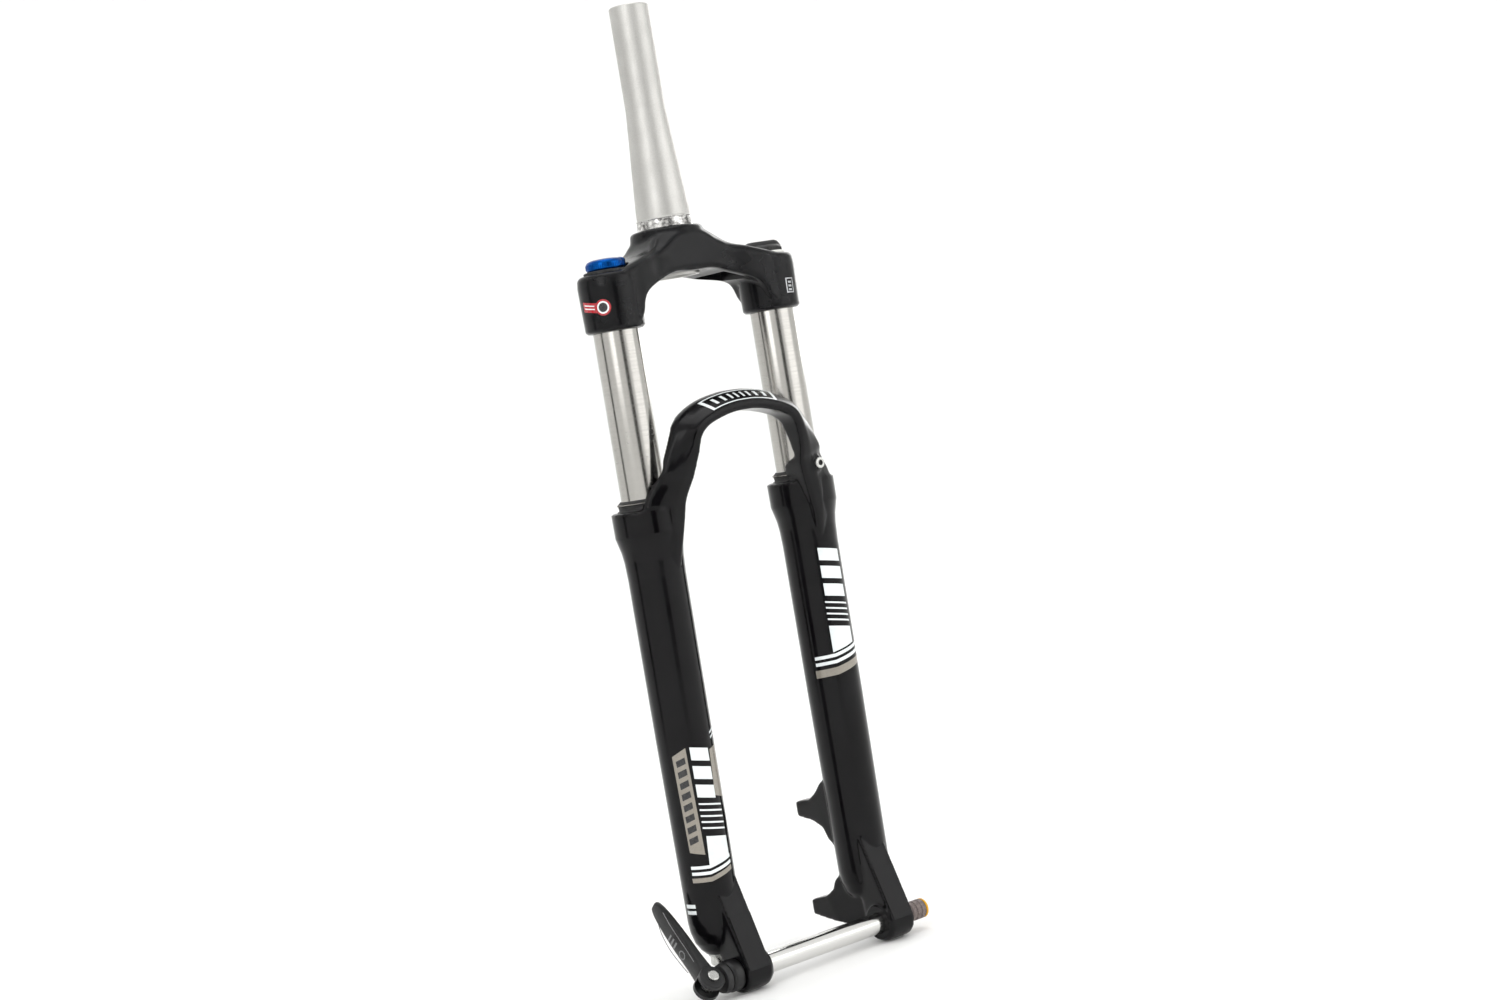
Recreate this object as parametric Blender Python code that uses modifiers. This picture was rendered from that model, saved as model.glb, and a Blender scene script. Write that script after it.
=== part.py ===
"""A 100 mm travel bicycle suspension fork, as an assembly of its real pieces.

Run with: blender --background --python part.py

Units: the sizes below are millimetres, and MM turns them into Blender's metres.
Frame: the origin is on the steerer's axis, on the plane where the crown race sits.
+Z runs up the steerer, -Y is the front of the bicycle, +X is the rider's left.
"""
import math

import bmesh
import bpy
from mathutils import Matrix, Vector

MM = 0.001

# Steerer and crown
STEERER_LENGTH = 160.0
STEERER_R = 14.3
RACE_SEAT_R = 19.9
RACE_SEAT_HEIGHT = 8.0
STEERER_FOOT_R = 19.1
STEERER_FOOT_Z = -34.5
CROWN_HUB_R = 26.0
CROWN_BOSS_R = 21.5
CROWN_BOSS_TOP = -28.5
CAP_SEAT_R = 16.6
CROWN_BOTTOM = -68.2

# Legs
LEG_X = 71.15
LEG_Y = -17.0
STANCHION_R = 16.0
STANCHION_BORE_R = 14.2
STANCHION_TOP = -33.6
STANCHION_FOOT = -365.0
RIM_Z = -192.5
HEAD_R = 24.4
LEG_FOOT_Z = -505.5
ROD_FOOT_Z = -496.7
BUSH_BORE_R = 17.5
LEG_BORE_R = 16.9

# Axle and brake mount
AXLE_Y = -41.0
AXLE_Z = -517.6
AXLE_R = 7.5
HUB_HALF = 55.0
PLATE_INNER = 57.5
PLATE_OUTER = 78.5
BOSS_R = 14.0
POST_SPACING = 74.2
POST_FACE_Y = 30.5
POST_MIDDLE_Z = -472.3
POST_X = (55.0, 69.0)

# Coil spring and its preload adjuster, in the rider's left leg
SPRING_TOP = -84.3
SPRING_FOOT = -322.7
SPRING_R = 10.8
WIRE_R = 2.4
SPRING_TURNS = 12

# Socket screw of the brake hose guide
GUIDE_SCREW = (66.0, -46.4, -182.4)

# Cam lever: the pin crosses the axle's line, and the arm points up and back
PIN_X = -103.0
ARM_SLOPE = math.radians(47.0)
LEVER_LENGTH = 73.0

# Clearance between pieces that touch, and smoothness of turned shapes
GAP = 0.3
STEPS = 28
FINE_STEPS = 24
SMALL_STEPS = 16
MERGE = 0.0001

FINISHES = {
    "gloss_black": ((0.012, 0.012, 0.013), 0.18, 0.0),
    "bare_alloy": ((0.62, 0.62, 0.60), 0.42, 1.0),
    "polished_steel": ((0.66, 0.64, 0.61), 0.14, 1.0),
    "dull_alloy": ((0.50, 0.50, 0.50), 0.45, 1.0),
    "blue_alloy": ((0.01, 0.09, 0.33), 0.28, 1.0),
    "black_plastic": ((0.02, 0.02, 0.02), 0.5, 0.0),
    "satin_black": ((0.018, 0.018, 0.019), 0.35, 0.0),
    "black_rubber": ((0.015, 0.015, 0.015), 0.7, 0.0),
    "spring_steel": ((0.22, 0.22, 0.23), 0.4, 1.0),
    "grey_bush": ((0.24, 0.27, 0.25), 0.6, 0.0),
    "oil_foam": ((0.32, 0.30, 0.16), 0.95, 0.0),
    "white_acetal": ((0.8, 0.8, 0.77), 0.45, 0.0),
    "brown_grey": ((0.17, 0.14, 0.13), 0.5, 0.4),
    "yellow_plastic": ((0.75, 0.48, 0.02), 0.4, 0.0),
}

PARTS = "suspension_fork"
CUTTERS = "cutters"


def collection(name):
    """Return the named collection, made on its first use."""
    found = bpy.data.collections.get(name)
    if found is None:
        found = bpy.data.collections.new(name)
        bpy.context.scene.collection.children.link(found)
    return found


def finish_material(name, finish):
    """Make one part's own Principled material in the named finish."""
    colour, roughness, metallic = FINISHES[finish]
    material = bpy.data.materials.new(name)
    material.use_nodes = True
    shader = material.node_tree.nodes["Principled BSDF"]
    shader.inputs["Base Color"].default_value = (*colour, 1.0)
    shader.inputs["Roughness"].default_value = roughness
    shader.inputs["Metallic"].default_value = metallic
    return material


def add_object(name, mesh, finish):
    """Link a mesh as a part, or as a cutter where it has no finish."""
    obj = bpy.data.objects.new(name, mesh)
    if finish is None:
        collection(CUTTERS).objects.link(obj)
        obj.hide_render = True
        obj.display_type = "WIRE"
    else:
        collection(PARTS).objects.link(obj)
        mesh.materials.append(finish_material(name, finish))
    return obj


def turned(name, profile, finish=None, centre=(0, 0, 0), axis=(0, 0, 1), steps=STEPS, ring=False):
    """Turn (radius, height) points, listed down the outside, about an axis; a ring closes its profile."""
    mesh = bpy.data.meshes.new(name)
    points = [(radius * MM, 0, height * MM) for radius, height in profile]
    edges = [(i, i + 1) for i in range(len(points) - 1)]
    if ring:
        edges.append((len(points) - 1, 0))
    mesh.from_pydata(points, edges, [])
    obj = add_object(name, mesh, finish)
    obj.location = Vector(centre) * MM
    obj.rotation_mode = "QUATERNION"
    obj.rotation_quaternion = Vector((0, 0, 1)).rotation_difference(Vector(axis))
    screw = obj.modifiers.new("turn", "SCREW")
    screw.steps = screw.render_steps = steps
    screw.use_smooth_shade = True
    screw.use_merge_vertices = True
    screw.merge_threshold = MERGE
    return obj


def rod(name, radius, low, high, finish=None, centre=(0, 0, 0), axis=(0, 0, 1), steps=FINE_STEPS):
    """A plain solid cylinder from low to high along its axis."""
    profile = [(0, high), (radius, high), (radius, low), (0, low)]
    return turned(name, profile, finish, centre, axis, steps)


def tube(name, outer, inner, low, high, finish, centre=(0, 0, 0), axis=(0, 0, 1), steps=FINE_STEPS):
    """A plain tube from low to high along its axis."""
    profile = [(outer, high), (outer, low), (inner, low), (inner, high)]
    return turned(name, profile, finish, centre, axis, steps, ring=True)


def loft(name, rings, finish=None):
    """Skin a row of rings with the same number of points, and close both ends."""
    work = bmesh.new()
    loops = [[work.verts.new(Vector(point) * MM) for point in ring] for ring in rings]
    count = len(rings[0])
    for near, far in zip(loops, loops[1:]):
        for i in range(count):
            j = (i + 1) % count
            work.faces.new((near[i], near[j], far[j], far[i]))
    work.faces.new(loops[0])
    work.faces.new(loops[-1])
    bmesh.ops.recalc_face_normals(work, faces=work.faces)
    mesh = bpy.data.meshes.new(name)
    work.to_mesh(mesh)
    work.free()
    return add_object(name, mesh, finish)


def plate(name, outline, x_low, x_high, finish=None, edge=0.0):
    """A flat plate whose (y, z) outline runs along X from x_low to x_high, with bevelled edges."""
    curve = bpy.data.curves.new(name, "CURVE")
    curve.dimensions = "2D"
    curve.fill_mode = "BOTH"
    curve.extrude = (x_high - x_low) / 2 * MM
    spline = curve.splines.new("POLY")
    spline.points.add(len(outline) - 1)
    for point, (y, z) in zip(spline.points, outline):
        point.co = (y * MM, z * MM, 0, 1)
    spline.use_cyclic_u = True
    guide = bpy.data.objects.new(name + "_outline", curve)
    bpy.context.scene.collection.objects.link(guide)
    across = Matrix.Rotation(math.pi / 2, 4, "Z") @ Matrix.Rotation(math.pi / 2, 4, "X")
    guide.matrix_world = Matrix.Translation(((x_low + x_high) / 2 * MM, 0, 0)) @ across
    bpy.context.view_layer.update()
    evaluated = guide.evaluated_get(bpy.context.evaluated_depsgraph_get())
    mesh = bpy.data.meshes.new_from_object(evaluated)
    work = bmesh.new()
    work.from_mesh(mesh)
    bmesh.ops.remove_doubles(work, verts=work.verts, dist=MERGE / 10)
    bmesh.ops.dissolve_limit(work, angle_limit=0.01, verts=work.verts, edges=work.edges)
    bmesh.ops.recalc_face_normals(work, faces=work.faces)
    work.to_mesh(mesh)
    work.free()
    obj = add_object(name, mesh, finish)
    obj.matrix_world = guide.matrix_world
    bpy.data.objects.remove(guide)
    if edge:
        bevel = obj.modifiers.new("edges", "BEVEL")
        bevel.width = edge * MM
        bevel.segments = 1
        bevel.limit_method = "ANGLE"
        bevel.angle_limit = math.radians(40)
    return obj


def box(name, low, high, finish=None):
    """A box between two corners."""
    bpy.ops.mesh.primitive_cube_add(size=1)
    obj = bpy.context.object
    size = [b - a for a, b in zip(low, high)]
    middle = [(a + b) / 2 for a, b in zip(low, high)]
    obj.data.transform(Matrix.Translation(Vector(middle) * MM) @ Matrix.Diagonal((*(Vector(size) * MM), 1)))
    mesh = obj.data
    bpy.data.objects.remove(obj)
    return add_object(name, mesh, finish)


def combine(target, others, operation):
    """Join or cut the target with all of a group of objects through one live Boolean."""
    group = bpy.data.collections.new(f"{target.name}_{operation.lower()}")
    collection(CUTTERS).children.link(group)
    for other in others:
        collection(CUTTERS).objects.unlink(other)
        group.objects.link(other)
    change = target.modifiers.new(operation.lower(), "BOOLEAN")
    change.operation = operation
    change.solver = "EXACT"
    change.operand_type = "COLLECTION"
    change.collection = group


def join(target, others):
    """Union every piece of a casting into the target."""
    combine(target, others, "UNION")


def cut(target, cutters):
    """Cut every cutter out of the target."""
    combine(target, cutters, "DIFFERENCE")


def mirrored(side, points):
    """Give (x, y, z) points on the rider's left, or their mirror image on the right."""
    return [(side * x, y, z) for x, y, z in points]


def leg_centre(side):
    """The foot of a leg's axis on the plane z = 0."""
    return (side * LEG_X, LEG_Y, 0)


def side_name(side):
    """The rider's side of a leg."""
    return "left" if side > 0 else "right"


# ---- Steerer, crown and stanchions ------------------------------------------------

def make_steerer():
    """Tapered alloy steerer with the crown race seat at its foot."""
    outside = [
        (STEERER_R - 0.8, STEERER_LENGTH), (STEERER_R, STEERER_LENGTH - 0.8), (STEERER_R, 86),
        (15.1, 74), (17.0, 48), (19.2, RACE_SEAT_HEIGHT + 1.4), (19.2, RACE_SEAT_HEIGHT),
        (RACE_SEAT_R, RACE_SEAT_HEIGHT - 0.4), (RACE_SEAT_R, GAP),
        (STEERER_FOOT_R, GAP), (STEERER_FOOT_R, STEERER_FOOT_Z),
    ]
    inside = [(16.4, STEERER_FOOT_Z), (16.2, 10), (12.6, 74), (11.8, 90), (11.8, STEERER_LENGTH)]
    turned("steerer_tube", outside + inside, "bare_alloy", ring=True)


def crown_ring(x, front, rear, bottom, top):
    """An arm's cross-section at x, with its four long edges cut back."""
    lip = 3.0
    return [
        (x, front + lip, top), (x, rear - lip, top), (x, rear, top - lip), (x, rear, bottom + lip / 2),
        (x, rear - lip / 2, bottom), (x, front + lip / 2, bottom), (x, front, bottom + lip / 2),
        (x, front, top - lip),
    ]


def make_crown():
    """Forged crown: a hub on the steerer, two arms and a clamp boss on each stanchion."""
    hub = [(0, 0), (CROWN_HUB_R - 1, 0), (CROWN_HUB_R, -1), (27.0, -9), (27.4, -30), (26, -33), (0, -33)]
    crown = turned("crown", hub, "gloss_black")
    middle = (0, -27.6, 27.6, -32.6, -4)
    half = [
        (14, -27.8, 26, -32.6, -5), (23, -27.6, 22, -34, -9), (30, -28.4, 19, -37, -14.5),
        (38, -30.5, 14, -41, -17.2), (46, -33, 9, -45.5, -19.2), (54, -35.5, 5, -54, -21.4),
        (66, -37, 2, -60, -25.5),
        (80, -34, -2, -60, -29.2),
    ]
    boss = [
        (0, CROWN_BOSS_TOP + 0.5), (19.4, CROWN_BOSS_TOP + 0.5), (21.0, -29.8), (CROWN_BOSS_R, -36),
        (20.6, -67.2), (20.0, CROWN_BOTTOM), (0, CROWN_BOTTOM),
    ]
    bore = [
        (0, 10), (CAP_SEAT_R, 10), (CAP_SEAT_R, CROWN_BOSS_TOP), (14.7, CROWN_BOSS_TOP),
        (14.7, STANCHION_TOP + GAP), (STANCHION_R + GAP, STANCHION_TOP + GAP),
        (STANCHION_R + GAP, -90), (0, -90),
    ]
    hollow = ((29, -22, 13, -24), (38, -24.5, 9, -27), (46.5, -26.5, 4, -32))
    left = [crown_ring(*station) for station in half]
    right = [mirrored(-1, ring) for ring in reversed(left)]
    solids = [loft("arms", right + [crown_ring(*middle)] + left)]
    mouth = RACE_SEAT_R + 0.5
    steerer_bore = [
        (0, 20), (mouth, 20), (mouth, -0.8), (STEERER_FOOT_R + GAP, -1.2),
        (STEERER_FOOT_R + GAP, -60), (0, -60),
    ]
    cuts = [turned("steerer_bore", steerer_bore)]
    for side in (1, -1):
        name = side_name(side)
        centre = leg_centre(side)
        solids.append(turned(f"boss_{name}", boss, centre=centre))
        pocket = [mirrored(side, crown_ring(x, front, rear, -75, roof)) for x, front, rear, roof in hollow]
        cuts.append(loft(f"pocket_{name}", pocket))
        cuts.append(turned(f"stanchion_bore_{name}", bore, centre=centre))
    join(crown, solids)
    cut(crown, cuts)


def make_stanchion(side):
    """Polished inner tube, pressed into the crown."""
    profile = [
        (STANCHION_R - 0.4, STANCHION_TOP), (STANCHION_R, STANCHION_TOP - 0.4),
        (STANCHION_R, STANCHION_FOOT + 1), (STANCHION_R - 1, STANCHION_FOOT),
        (STANCHION_BORE_R, STANCHION_FOOT), (STANCHION_BORE_R, STANCHION_TOP),
    ]
    turned(f"stanchion_{side_name(side)}", profile, "polished_steel", leg_centre(side), ring=True)


def make_top_cap(side, finish, bore):
    """Screwed cap that closes the top of a stanchion, with a hole for its adjuster."""
    seat = CROWN_BOSS_TOP + GAP
    profile = [
        (15.0, seat + 2.3), (15.5, seat + 1.8), (15.5, seat), (14.4, seat), (14.4, STANCHION_TOP + GAP),
        (13.9, STANCHION_TOP + GAP), (13.9, -50), (bore, -50), (bore, seat + 2.3),
    ]
    turned(f"top_cap_{side_name(side)}", profile, finish, leg_centre(side), steps=FINE_STEPS, ring=True)


# ---- Damper side (rider's right) ----------------------------------------------------

def make_lockout():
    """Blue lever on the damper leg, its shaft and the valve plate that it turns."""
    centre = leg_centre(-1)
    disc = [(0, -17.6), (7, -17.8), (11.5, -18.7), (13.6, -20.6), (13.6, -24.2), (12.8, -25.6), (0, -25.6)]
    lever = turned("lockout_lever", disc, "blue_alloy", centre, steps=FINE_STEPS)
    rings = []
    for along, wide, top in ((2, 6.4, -18.4), (10, 5.8, -17.8), (14.8, 4.6, -18.6), (16, 3, -20.2)):
        corners = ((-wide, -24.4), (wide, -24.4), (wide, top), (-wide, top))
        rings.append([(-LEG_X + along, LEG_Y + across, z) for across, z in corners])
    join(lever, [loft("lockout_tab", rings)])
    rod("lockout_shaft", 3.0, -59.7, -25.9, "dull_alloy", centre, steps=SMALL_STEPS)
    rod("lockout_valve", 10.8, -66, -60, "dull_alloy", centre, steps=SMALL_STEPS)


def make_damper():
    """Oil damper cartridge: body, seal head, rod and piston."""
    centre = leg_centre(-1)
    tube("damper_body", 13.6, 11.4, -262, -50.3, "dull_alloy", centre)
    tube("damper_seal_head", 13.6, 4.9, -274, -262.3, "dull_alloy", centre)
    rod("damper_rod", 4.5, ROD_FOOT_Z, -247, "polished_steel", centre, steps=SMALL_STEPS)
    rod("damper_piston", 10.8, -246.7, -237, "dull_alloy", centre, steps=SMALL_STEPS)


# ---- Spring side (rider's left) -------------------------------------------------------

def make_preload():
    """Winged knob, the spindle that it turns and the plunger that the spindle drives down."""
    centre = leg_centre(1)
    base = [(0, -21.2), (12.6, -21.2), (14.2, -23), (14.6, -25.9), (0, -25.9)]
    knob = turned("preload_knob", base, "black_plastic", centre, steps=FINE_STEPS)
    turn = Matrix.Rotation(math.radians(-20), 3, "Z")
    rings = []
    for height, length, width in ((-22.5, 14.2, 5.6), (-19.5, 12.6, 5.0), (-17.6, 10.4, 4.0)):
        corner = width * 0.6
        quarter = [(length, width - corner), (length - corner, width)]
        half = quarter + [(-x, y) for x, y in reversed(quarter)]
        loop = half + [(-x, -y) for x, y in half]
        rings.append([turn @ Vector((x, y, height)) + Vector(centre) for x, y in loop])
    join(knob, [loft("preload_wing", rings)])
    rod("preload_spindle", 4.0, -82, -26.2, "dull_alloy", centre, steps=SMALL_STEPS)
    plunger = [(13.7, -68), (13.7, -84), (4.4, -84), (4.4, -68)]
    turned("preload_plunger", plunger, "white_acetal", centre, steps=FINE_STEPS, ring=True)


def make_coil_spring():
    """Main coil spring, a helix whose end turns close up to sit flat."""
    per_turn = 9
    count = SPRING_TURNS * per_turn
    low, high = SPRING_FOOT + WIRE_R, SPRING_TOP - WIRE_R
    closed = 2.2 * WIRE_R
    curve = bpy.data.curves.new("coil_spring", "CURVE")
    curve.dimensions = "3D"
    curve.bevel_depth = WIRE_R * MM
    curve.bevel_resolution = 2
    curve.use_fill_caps = True
    spline = curve.splines.new("POLY")
    spline.points.add(count)
    pitch = (high - low - 2 * closed) / (SPRING_TURNS - 2)
    for i, point in enumerate(spline.points):
        turn = i / per_turn
        middle = min(max(turn - 1, 0), SPRING_TURNS - 2)
        height = low + closed * min(turn, 1) + pitch * middle + closed * max(turn - SPRING_TURNS + 1, 0)
        angle = 2 * math.pi * turn
        x = LEG_X + SPRING_R * math.cos(angle)
        y = LEG_Y + SPRING_R * math.sin(angle)
        point.co = (x * MM, y * MM, height * MM, 1)
    obj = bpy.data.objects.new("coil_spring", curve)
    collection(PARTS).objects.link(obj)
    curve.materials.append(finish_material("coil_spring", "spring_steel"))


def make_spring_foot():
    """Perch and rod under the spring, the guide in the stanchion's foot and the two bumpers."""
    centre = leg_centre(1)
    seat = SPRING_FOOT - GAP
    perch = [(0, -312), (7.6, -312), (8.0, seat), (13.6, seat), (13.6, -330), (0, -330)]
    turned("spring_perch", perch, "white_acetal", centre, steps=FINE_STEPS)
    tube("top_out_bumper", 12.0, 5.5, -351.7, -330.3, "black_rubber", centre)
    tube("spring_rod_guide", 13.8, 5.4, -364, -352, "dull_alloy", centre)
    rod("spring_rod", 5.0, ROD_FOOT_Z, -330.3, "polished_steel", centre, steps=SMALL_STEPS)
    tube("bottom_bumper", 8.6, 5.4, -496.4, -468, "black_rubber", centre, steps=SMALL_STEPS)


# ---- Lower legs -------------------------------------------------------------------------

def leg_profile():
    """Outside of one lower leg, from its rim down to its rounded foot."""
    return [
        (0, RIM_Z), (HEAD_R - 0.8, RIM_Z), (HEAD_R, RIM_Z - 0.8), (HEAD_R - 0.1, -210), (23.2, -214),
        (21.6, -220), (20.7, -227), (20.3, -240), (20.0, -350), (19.0, -482),
        (18.2, -490), (15.9, -497), (12.2, -502.5), (8.5, LEG_FOOT_Z - 1.0), (0, LEG_FOOT_Z - 1.0),
    ]


def leg_bore_profile():
    """Inside of one lower leg: seal seat, bush bore, oil space and bolt hole."""
    return [
        (0, -150), (23.2, -150), (23.2, -173), (20.0, -177), (20.0, -212),
        (BUSH_BORE_R, -212), (BUSH_BORE_R, -345), (LEG_BORE_R, -346), (LEG_BORE_R, -484), (9.2, -497),
        (4.7, -497), (4.7, -540), (0, -540),
    ]


def arch_station(inner, outer, front, rear, slope):
    """One cross-section of the arch: a front rib, a face leaning back to the outer edge, and a rear face."""
    (x0, z0), (x1, z1) = inner, outer
    depth = rear - front
    shape = [
        (0.0, 0.07), (0.07, 0.0), (0.40, 0.0), (0.72, 0.30 * slope), (0.95, 0.62 * slope),
        (1.0, 0.80 * slope),
        (0.96, 1.0), (0.15, 1.0), (0.0, 0.93),
    ]
    return [(x0 + (x1 - x0) * t, front + depth * back, z0 + (z1 - z0) * t) for t, back in shape]


def arch_half():
    """The arch's cross-sections from beside its middle down to its foot on the rider's left leg."""
    return [
        arch_station((9, -136.3), (12, -120.9), -58, -36, 1.0),
        arch_station((20, -138.2), (28.6, -123.9), -58, -36, 1.0),
        arch_station((34, -142.5), (44, -130), -58, -36, 1.0),
        arch_station((42, -149), (54.5, -137.5), -57.5, -38.5, 1.0),
        arch_station((45.5, -160), (62, -150), -55.6, -39.8, 0.9),
        arch_station((47.5, -168), (68, -161), -53, -39.8, 0.8),
        arch_station((48.8, -175), (72, -170), -50, -39.8, 0.7),
        arch_station((49.8, -180), (76, -176), -47.3, -27, 0.55),
        arch_station((54, -191), (84, -189), -43.8, -20, 0.45),
        arch_station((57, -204), (86, -203), -42.6, -18, 0.40),
        arch_station((60.5, -218), (81, -218), -41.0, -18, 0.30),
        arch_station((64, -238), (76, -238), -36.6, -18, 0.20),
    ]


def make_arch():
    """The whole arch, mirrored across the middle plane."""
    left = arch_half()
    middle = arch_station((0, -136), (0, -120.3), -58, -36, 1.0)
    right = [mirrored(-1, ring) for ring in reversed(left)]
    return loft("arch", right + [middle] + left)


def dropout_outline():
    """Side outline of a dropout: forward from the leg, round the axle and back to the leg's foot."""
    lean = math.atan2(15.1, 39.8)
    points = [(-20, -420), (-26, -440)]
    start, end = -lean, math.radians(180)
    arc_steps = 12
    for i in range(arc_steps + 1):
        angle = start + (end - start) * i / arc_steps
        points.append((AXLE_Y - BOSS_R * math.cos(angle), AXLE_Z - BOSS_R * math.sin(angle)))
    return points + [(-25.6, -503), (-21, -494), (-15, -470)]


def post_outlines():
    """Side outlines of the two brake mount posts; the lower one runs into the dropout."""
    upper_z = POST_MIDDLE_Z + POST_SPACING / 2
    lower_z = POST_MIDDLE_Z - POST_SPACING / 2
    face = POST_FACE_Y
    upper = [
        (-10, upper_z + 22), (0, upper_z + 19), (6, upper_z + 14), (14.5, upper_z + 7.6),
        (face - 1, upper_z + 5.8), (face, upper_z + 5), (face, upper_z - 5), (face - 1, upper_z - 5.8),
        (14, upper_z - 8.6),
        (4, upper_z - 13.5), (0, upper_z - 20), (-10, upper_z - 26),
    ]
    lower = [
        (-10, lower_z + 26), (0, lower_z + 21), (4, lower_z + 15), (13, lower_z + 9),
        (face - 1, lower_z + 5.8),
        (face, lower_z + 5), (face, lower_z - 5), (face - 1, lower_z - 5.8), (14, lower_z - 8.6),
        (2, lower_z - 10.4), (-18, lower_z - 11.6), (-34, lower_z - 19), (-34, lower_z + 16),
    ]
    return upper, lower


def make_lower_legs():
    """One-piece casting: both legs, the arch, the dropouts and the brake mount."""
    casting = turned("lower_legs", leg_profile(), "gloss_black", leg_centre(1))
    axle_middle = axle_point(0)
    solids = [turned("leg_right", leg_profile(), centre=leg_centre(-1)), make_arch()]
    cuts = [rod("axle_hole", AXLE_R + GAP, -100, 100, centre=axle_middle, axis=(1, 0, 0))]
    for side in (1, -1):
        name = side_name(side)
        centre = leg_centre(side)
        low, high = sorted((side * PLATE_INNER, side * PLATE_OUTER))
        solids.append(plate(f"dropout_{name}", dropout_outline(), low, high, edge=1.6))
        flange = rod(f"hub_seat_{name}", 12.3, HUB_HALF, HUB_HALF + 6, centre=axle_middle, axis=(side, 0, 0))
        solids.append(flange)
        cuts.append(turned(f"leg_bore_{name}", leg_bore_profile(), centre=centre))
        cuts.append(rod(f"foot_access_{name}", 11.2, -545, LEG_FOOT_Z, centre=centre))
    for outline, name, sign in zip(post_outlines(), ("upper", "lower"), (1, -1)):
        solids.append(plate(f"post_{name}", outline, *POST_X, edge=1.2))
        hole = ((POST_X[0] + POST_X[1]) / 2, 0, POST_MIDDLE_Z + sign * POST_SPACING / 2)
        depth = (POST_FACE_Y - 15, POST_FACE_Y + 5)
        cuts.append(rod(f"post_hole_{name}", 2.6, *depth, centre=hole, axis=(0, 1, 0), steps=SMALL_STEPS))
    cuts.append(rod("guide_hole", 2.6, -9, 8, centre=GUIDE_SCREW, axis=(0, -1, 0), steps=SMALL_STEPS))
    join(casting, solids)
    cut(casting, cuts)


def make_guide_screw():
    """Socket screw that holds the brake hose guide on the arch."""
    profile = [(4.0, 2.6), (4.0, 0.3), (2.3, 0.3), (2.3, -7), (0, -7)]
    socket = [(0, 1.2), (1.6, 1.2), (1.6, 2.6)]
    turned("hose_guide_screw", socket + profile, "polished_steel", GUIDE_SCREW, (0, -1, 0), SMALL_STEPS)


def make_leg_fittings(side):
    """Seal, garter spring, foam ring, bushes, washer and bolt of one leg."""
    name = side_name(side)
    centre = leg_centre(side)
    seal = [
        (17.0, -185.4), (18.6, -186.8), (18.0, -187.0), (18.0, -188.5), (18.8, -188.8), (18.3, -191.2),
        (19.7, -192.0), (19.7, -202), (16.9, -202), (16.3, -190), (16.3, -185.4),
    ]
    turned(f"dust_seal_{name}", seal, "black_rubber", centre, steps=FINE_STEPS, ring=True)
    angles = [math.tau * i / 6 for i in range(6)]
    garter = [(18.9 + 0.6 * math.cos(a), -187.75 - 0.6 * math.sin(a)) for a in angles]
    turned(f"garter_spring_{name}", garter, "polished_steel", centre, steps=FINE_STEPS, ring=True)
    tube(f"foam_ring_{name}", 19.6, 16.6, -211.6, -202.4, "oil_foam", centre)
    tube(f"upper_bush_{name}", 17.2, 16.3, -236, -214, "grey_bush", centre)
    tube(f"lower_bush_{name}", 17.2, 16.3, -344, -322, "grey_bush", centre)
    tube(f"foot_washer_{name}", 8.4, 4.8, -507.0, LEG_FOOT_Z - GAP, "dull_alloy", centre, steps=SMALL_STEPS)
    bolt = [
        (0, -497.2), (4.3, -497.2), (4.3, -507.3), (7.4, -507.3), (7.6, -513.0), (6.8, -514.0), (4.4, -514.0),
        (4.4, -510), (0, -510),
    ]
    turned(f"foot_bolt_{name}", bolt, "bare_alloy", centre, steps=SMALL_STEPS)


# ---- Quick-release axle -----------------------------------------------------------------

def axle_point(x):
    """A point on the axle's line."""
    return (x, AXLE_Y, AXLE_Z)


def arm_direction():
    """The way the closed cam lever points: up and back, beside the leg."""
    return Vector((0, math.cos(ARM_SLOPE), math.sin(ARM_SLOPE)))


def pin_direction():
    """The cam pin's axis: forward and up, square to the axle and to the arm."""
    return Vector((0, -math.sin(ARM_SLOPE), math.cos(ARM_SLOPE)))


def make_axle():
    """Hollow axle with its head, the ribbed collar that spreads behind the far dropout and the cam washer."""
    tube_profile = [
        (AXLE_R - 0.6, 78.4), (AXLE_R, 77.8), (AXLE_R, -79), (10.6, -79), (11.2, -80), (11.2, -86),
        (10.2, -88.2), (4.2, -88.2), (4.2, 78.4),
    ]
    turned("axle_tube", tube_profile, "polished_steel", axle_point(0), (1, 0, 0), FINE_STEPS, ring=True)
    ribs = [(6.9, 97.5)]
    for start in (94.0, 88.0, 82.0):
        ribs += [(7.2, start + 2.6), (7.2, start), (6.6, start - 0.4), (6.6, start - 1.6)]
    collar = ribs + [(7.2, 79.4), (3.9, 79.0), (3.9, 97.5)]
    turned("axle_collar", collar, "brown_grey", axle_point(0), (1, 0, 0), SMALL_STEPS, ring=True)
    tube("axle_end_ring", 7.1, 3.7, 97.8, 99.6, "yellow_plastic", axle_point(0), (1, 0, 0), SMALL_STEPS)
    washer = [(10.0, -88.5), (10.6, -89.5), (9.6, -93.2), (4.2, -93.2), (4.2, -88.5)]
    turned("cam_washer", washer, "black_plastic", axle_point(0), (1, 0, 0), FINE_STEPS, ring=True)


def make_draw_rod():
    """Rod through the axle, with the eye that the cam pin holds."""
    draw = rod("draw_rod", 3.3, PIN_X, 99.4, "polished_steel", axle_point(0), (1, 0, 0), SMALL_STEPS)
    centre = axle_point(PIN_X)
    eye = rod("draw_rod_eye", 5.0, -3.4, 3.4, centre=centre, axis=pin_direction(), steps=SMALL_STEPS)
    join(draw, [eye])
    cut(draw, [rod("draw_rod_hole", 2.9, -6, 6, centre=centre, axis=pin_direction(), steps=SMALL_STEPS)])


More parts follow.
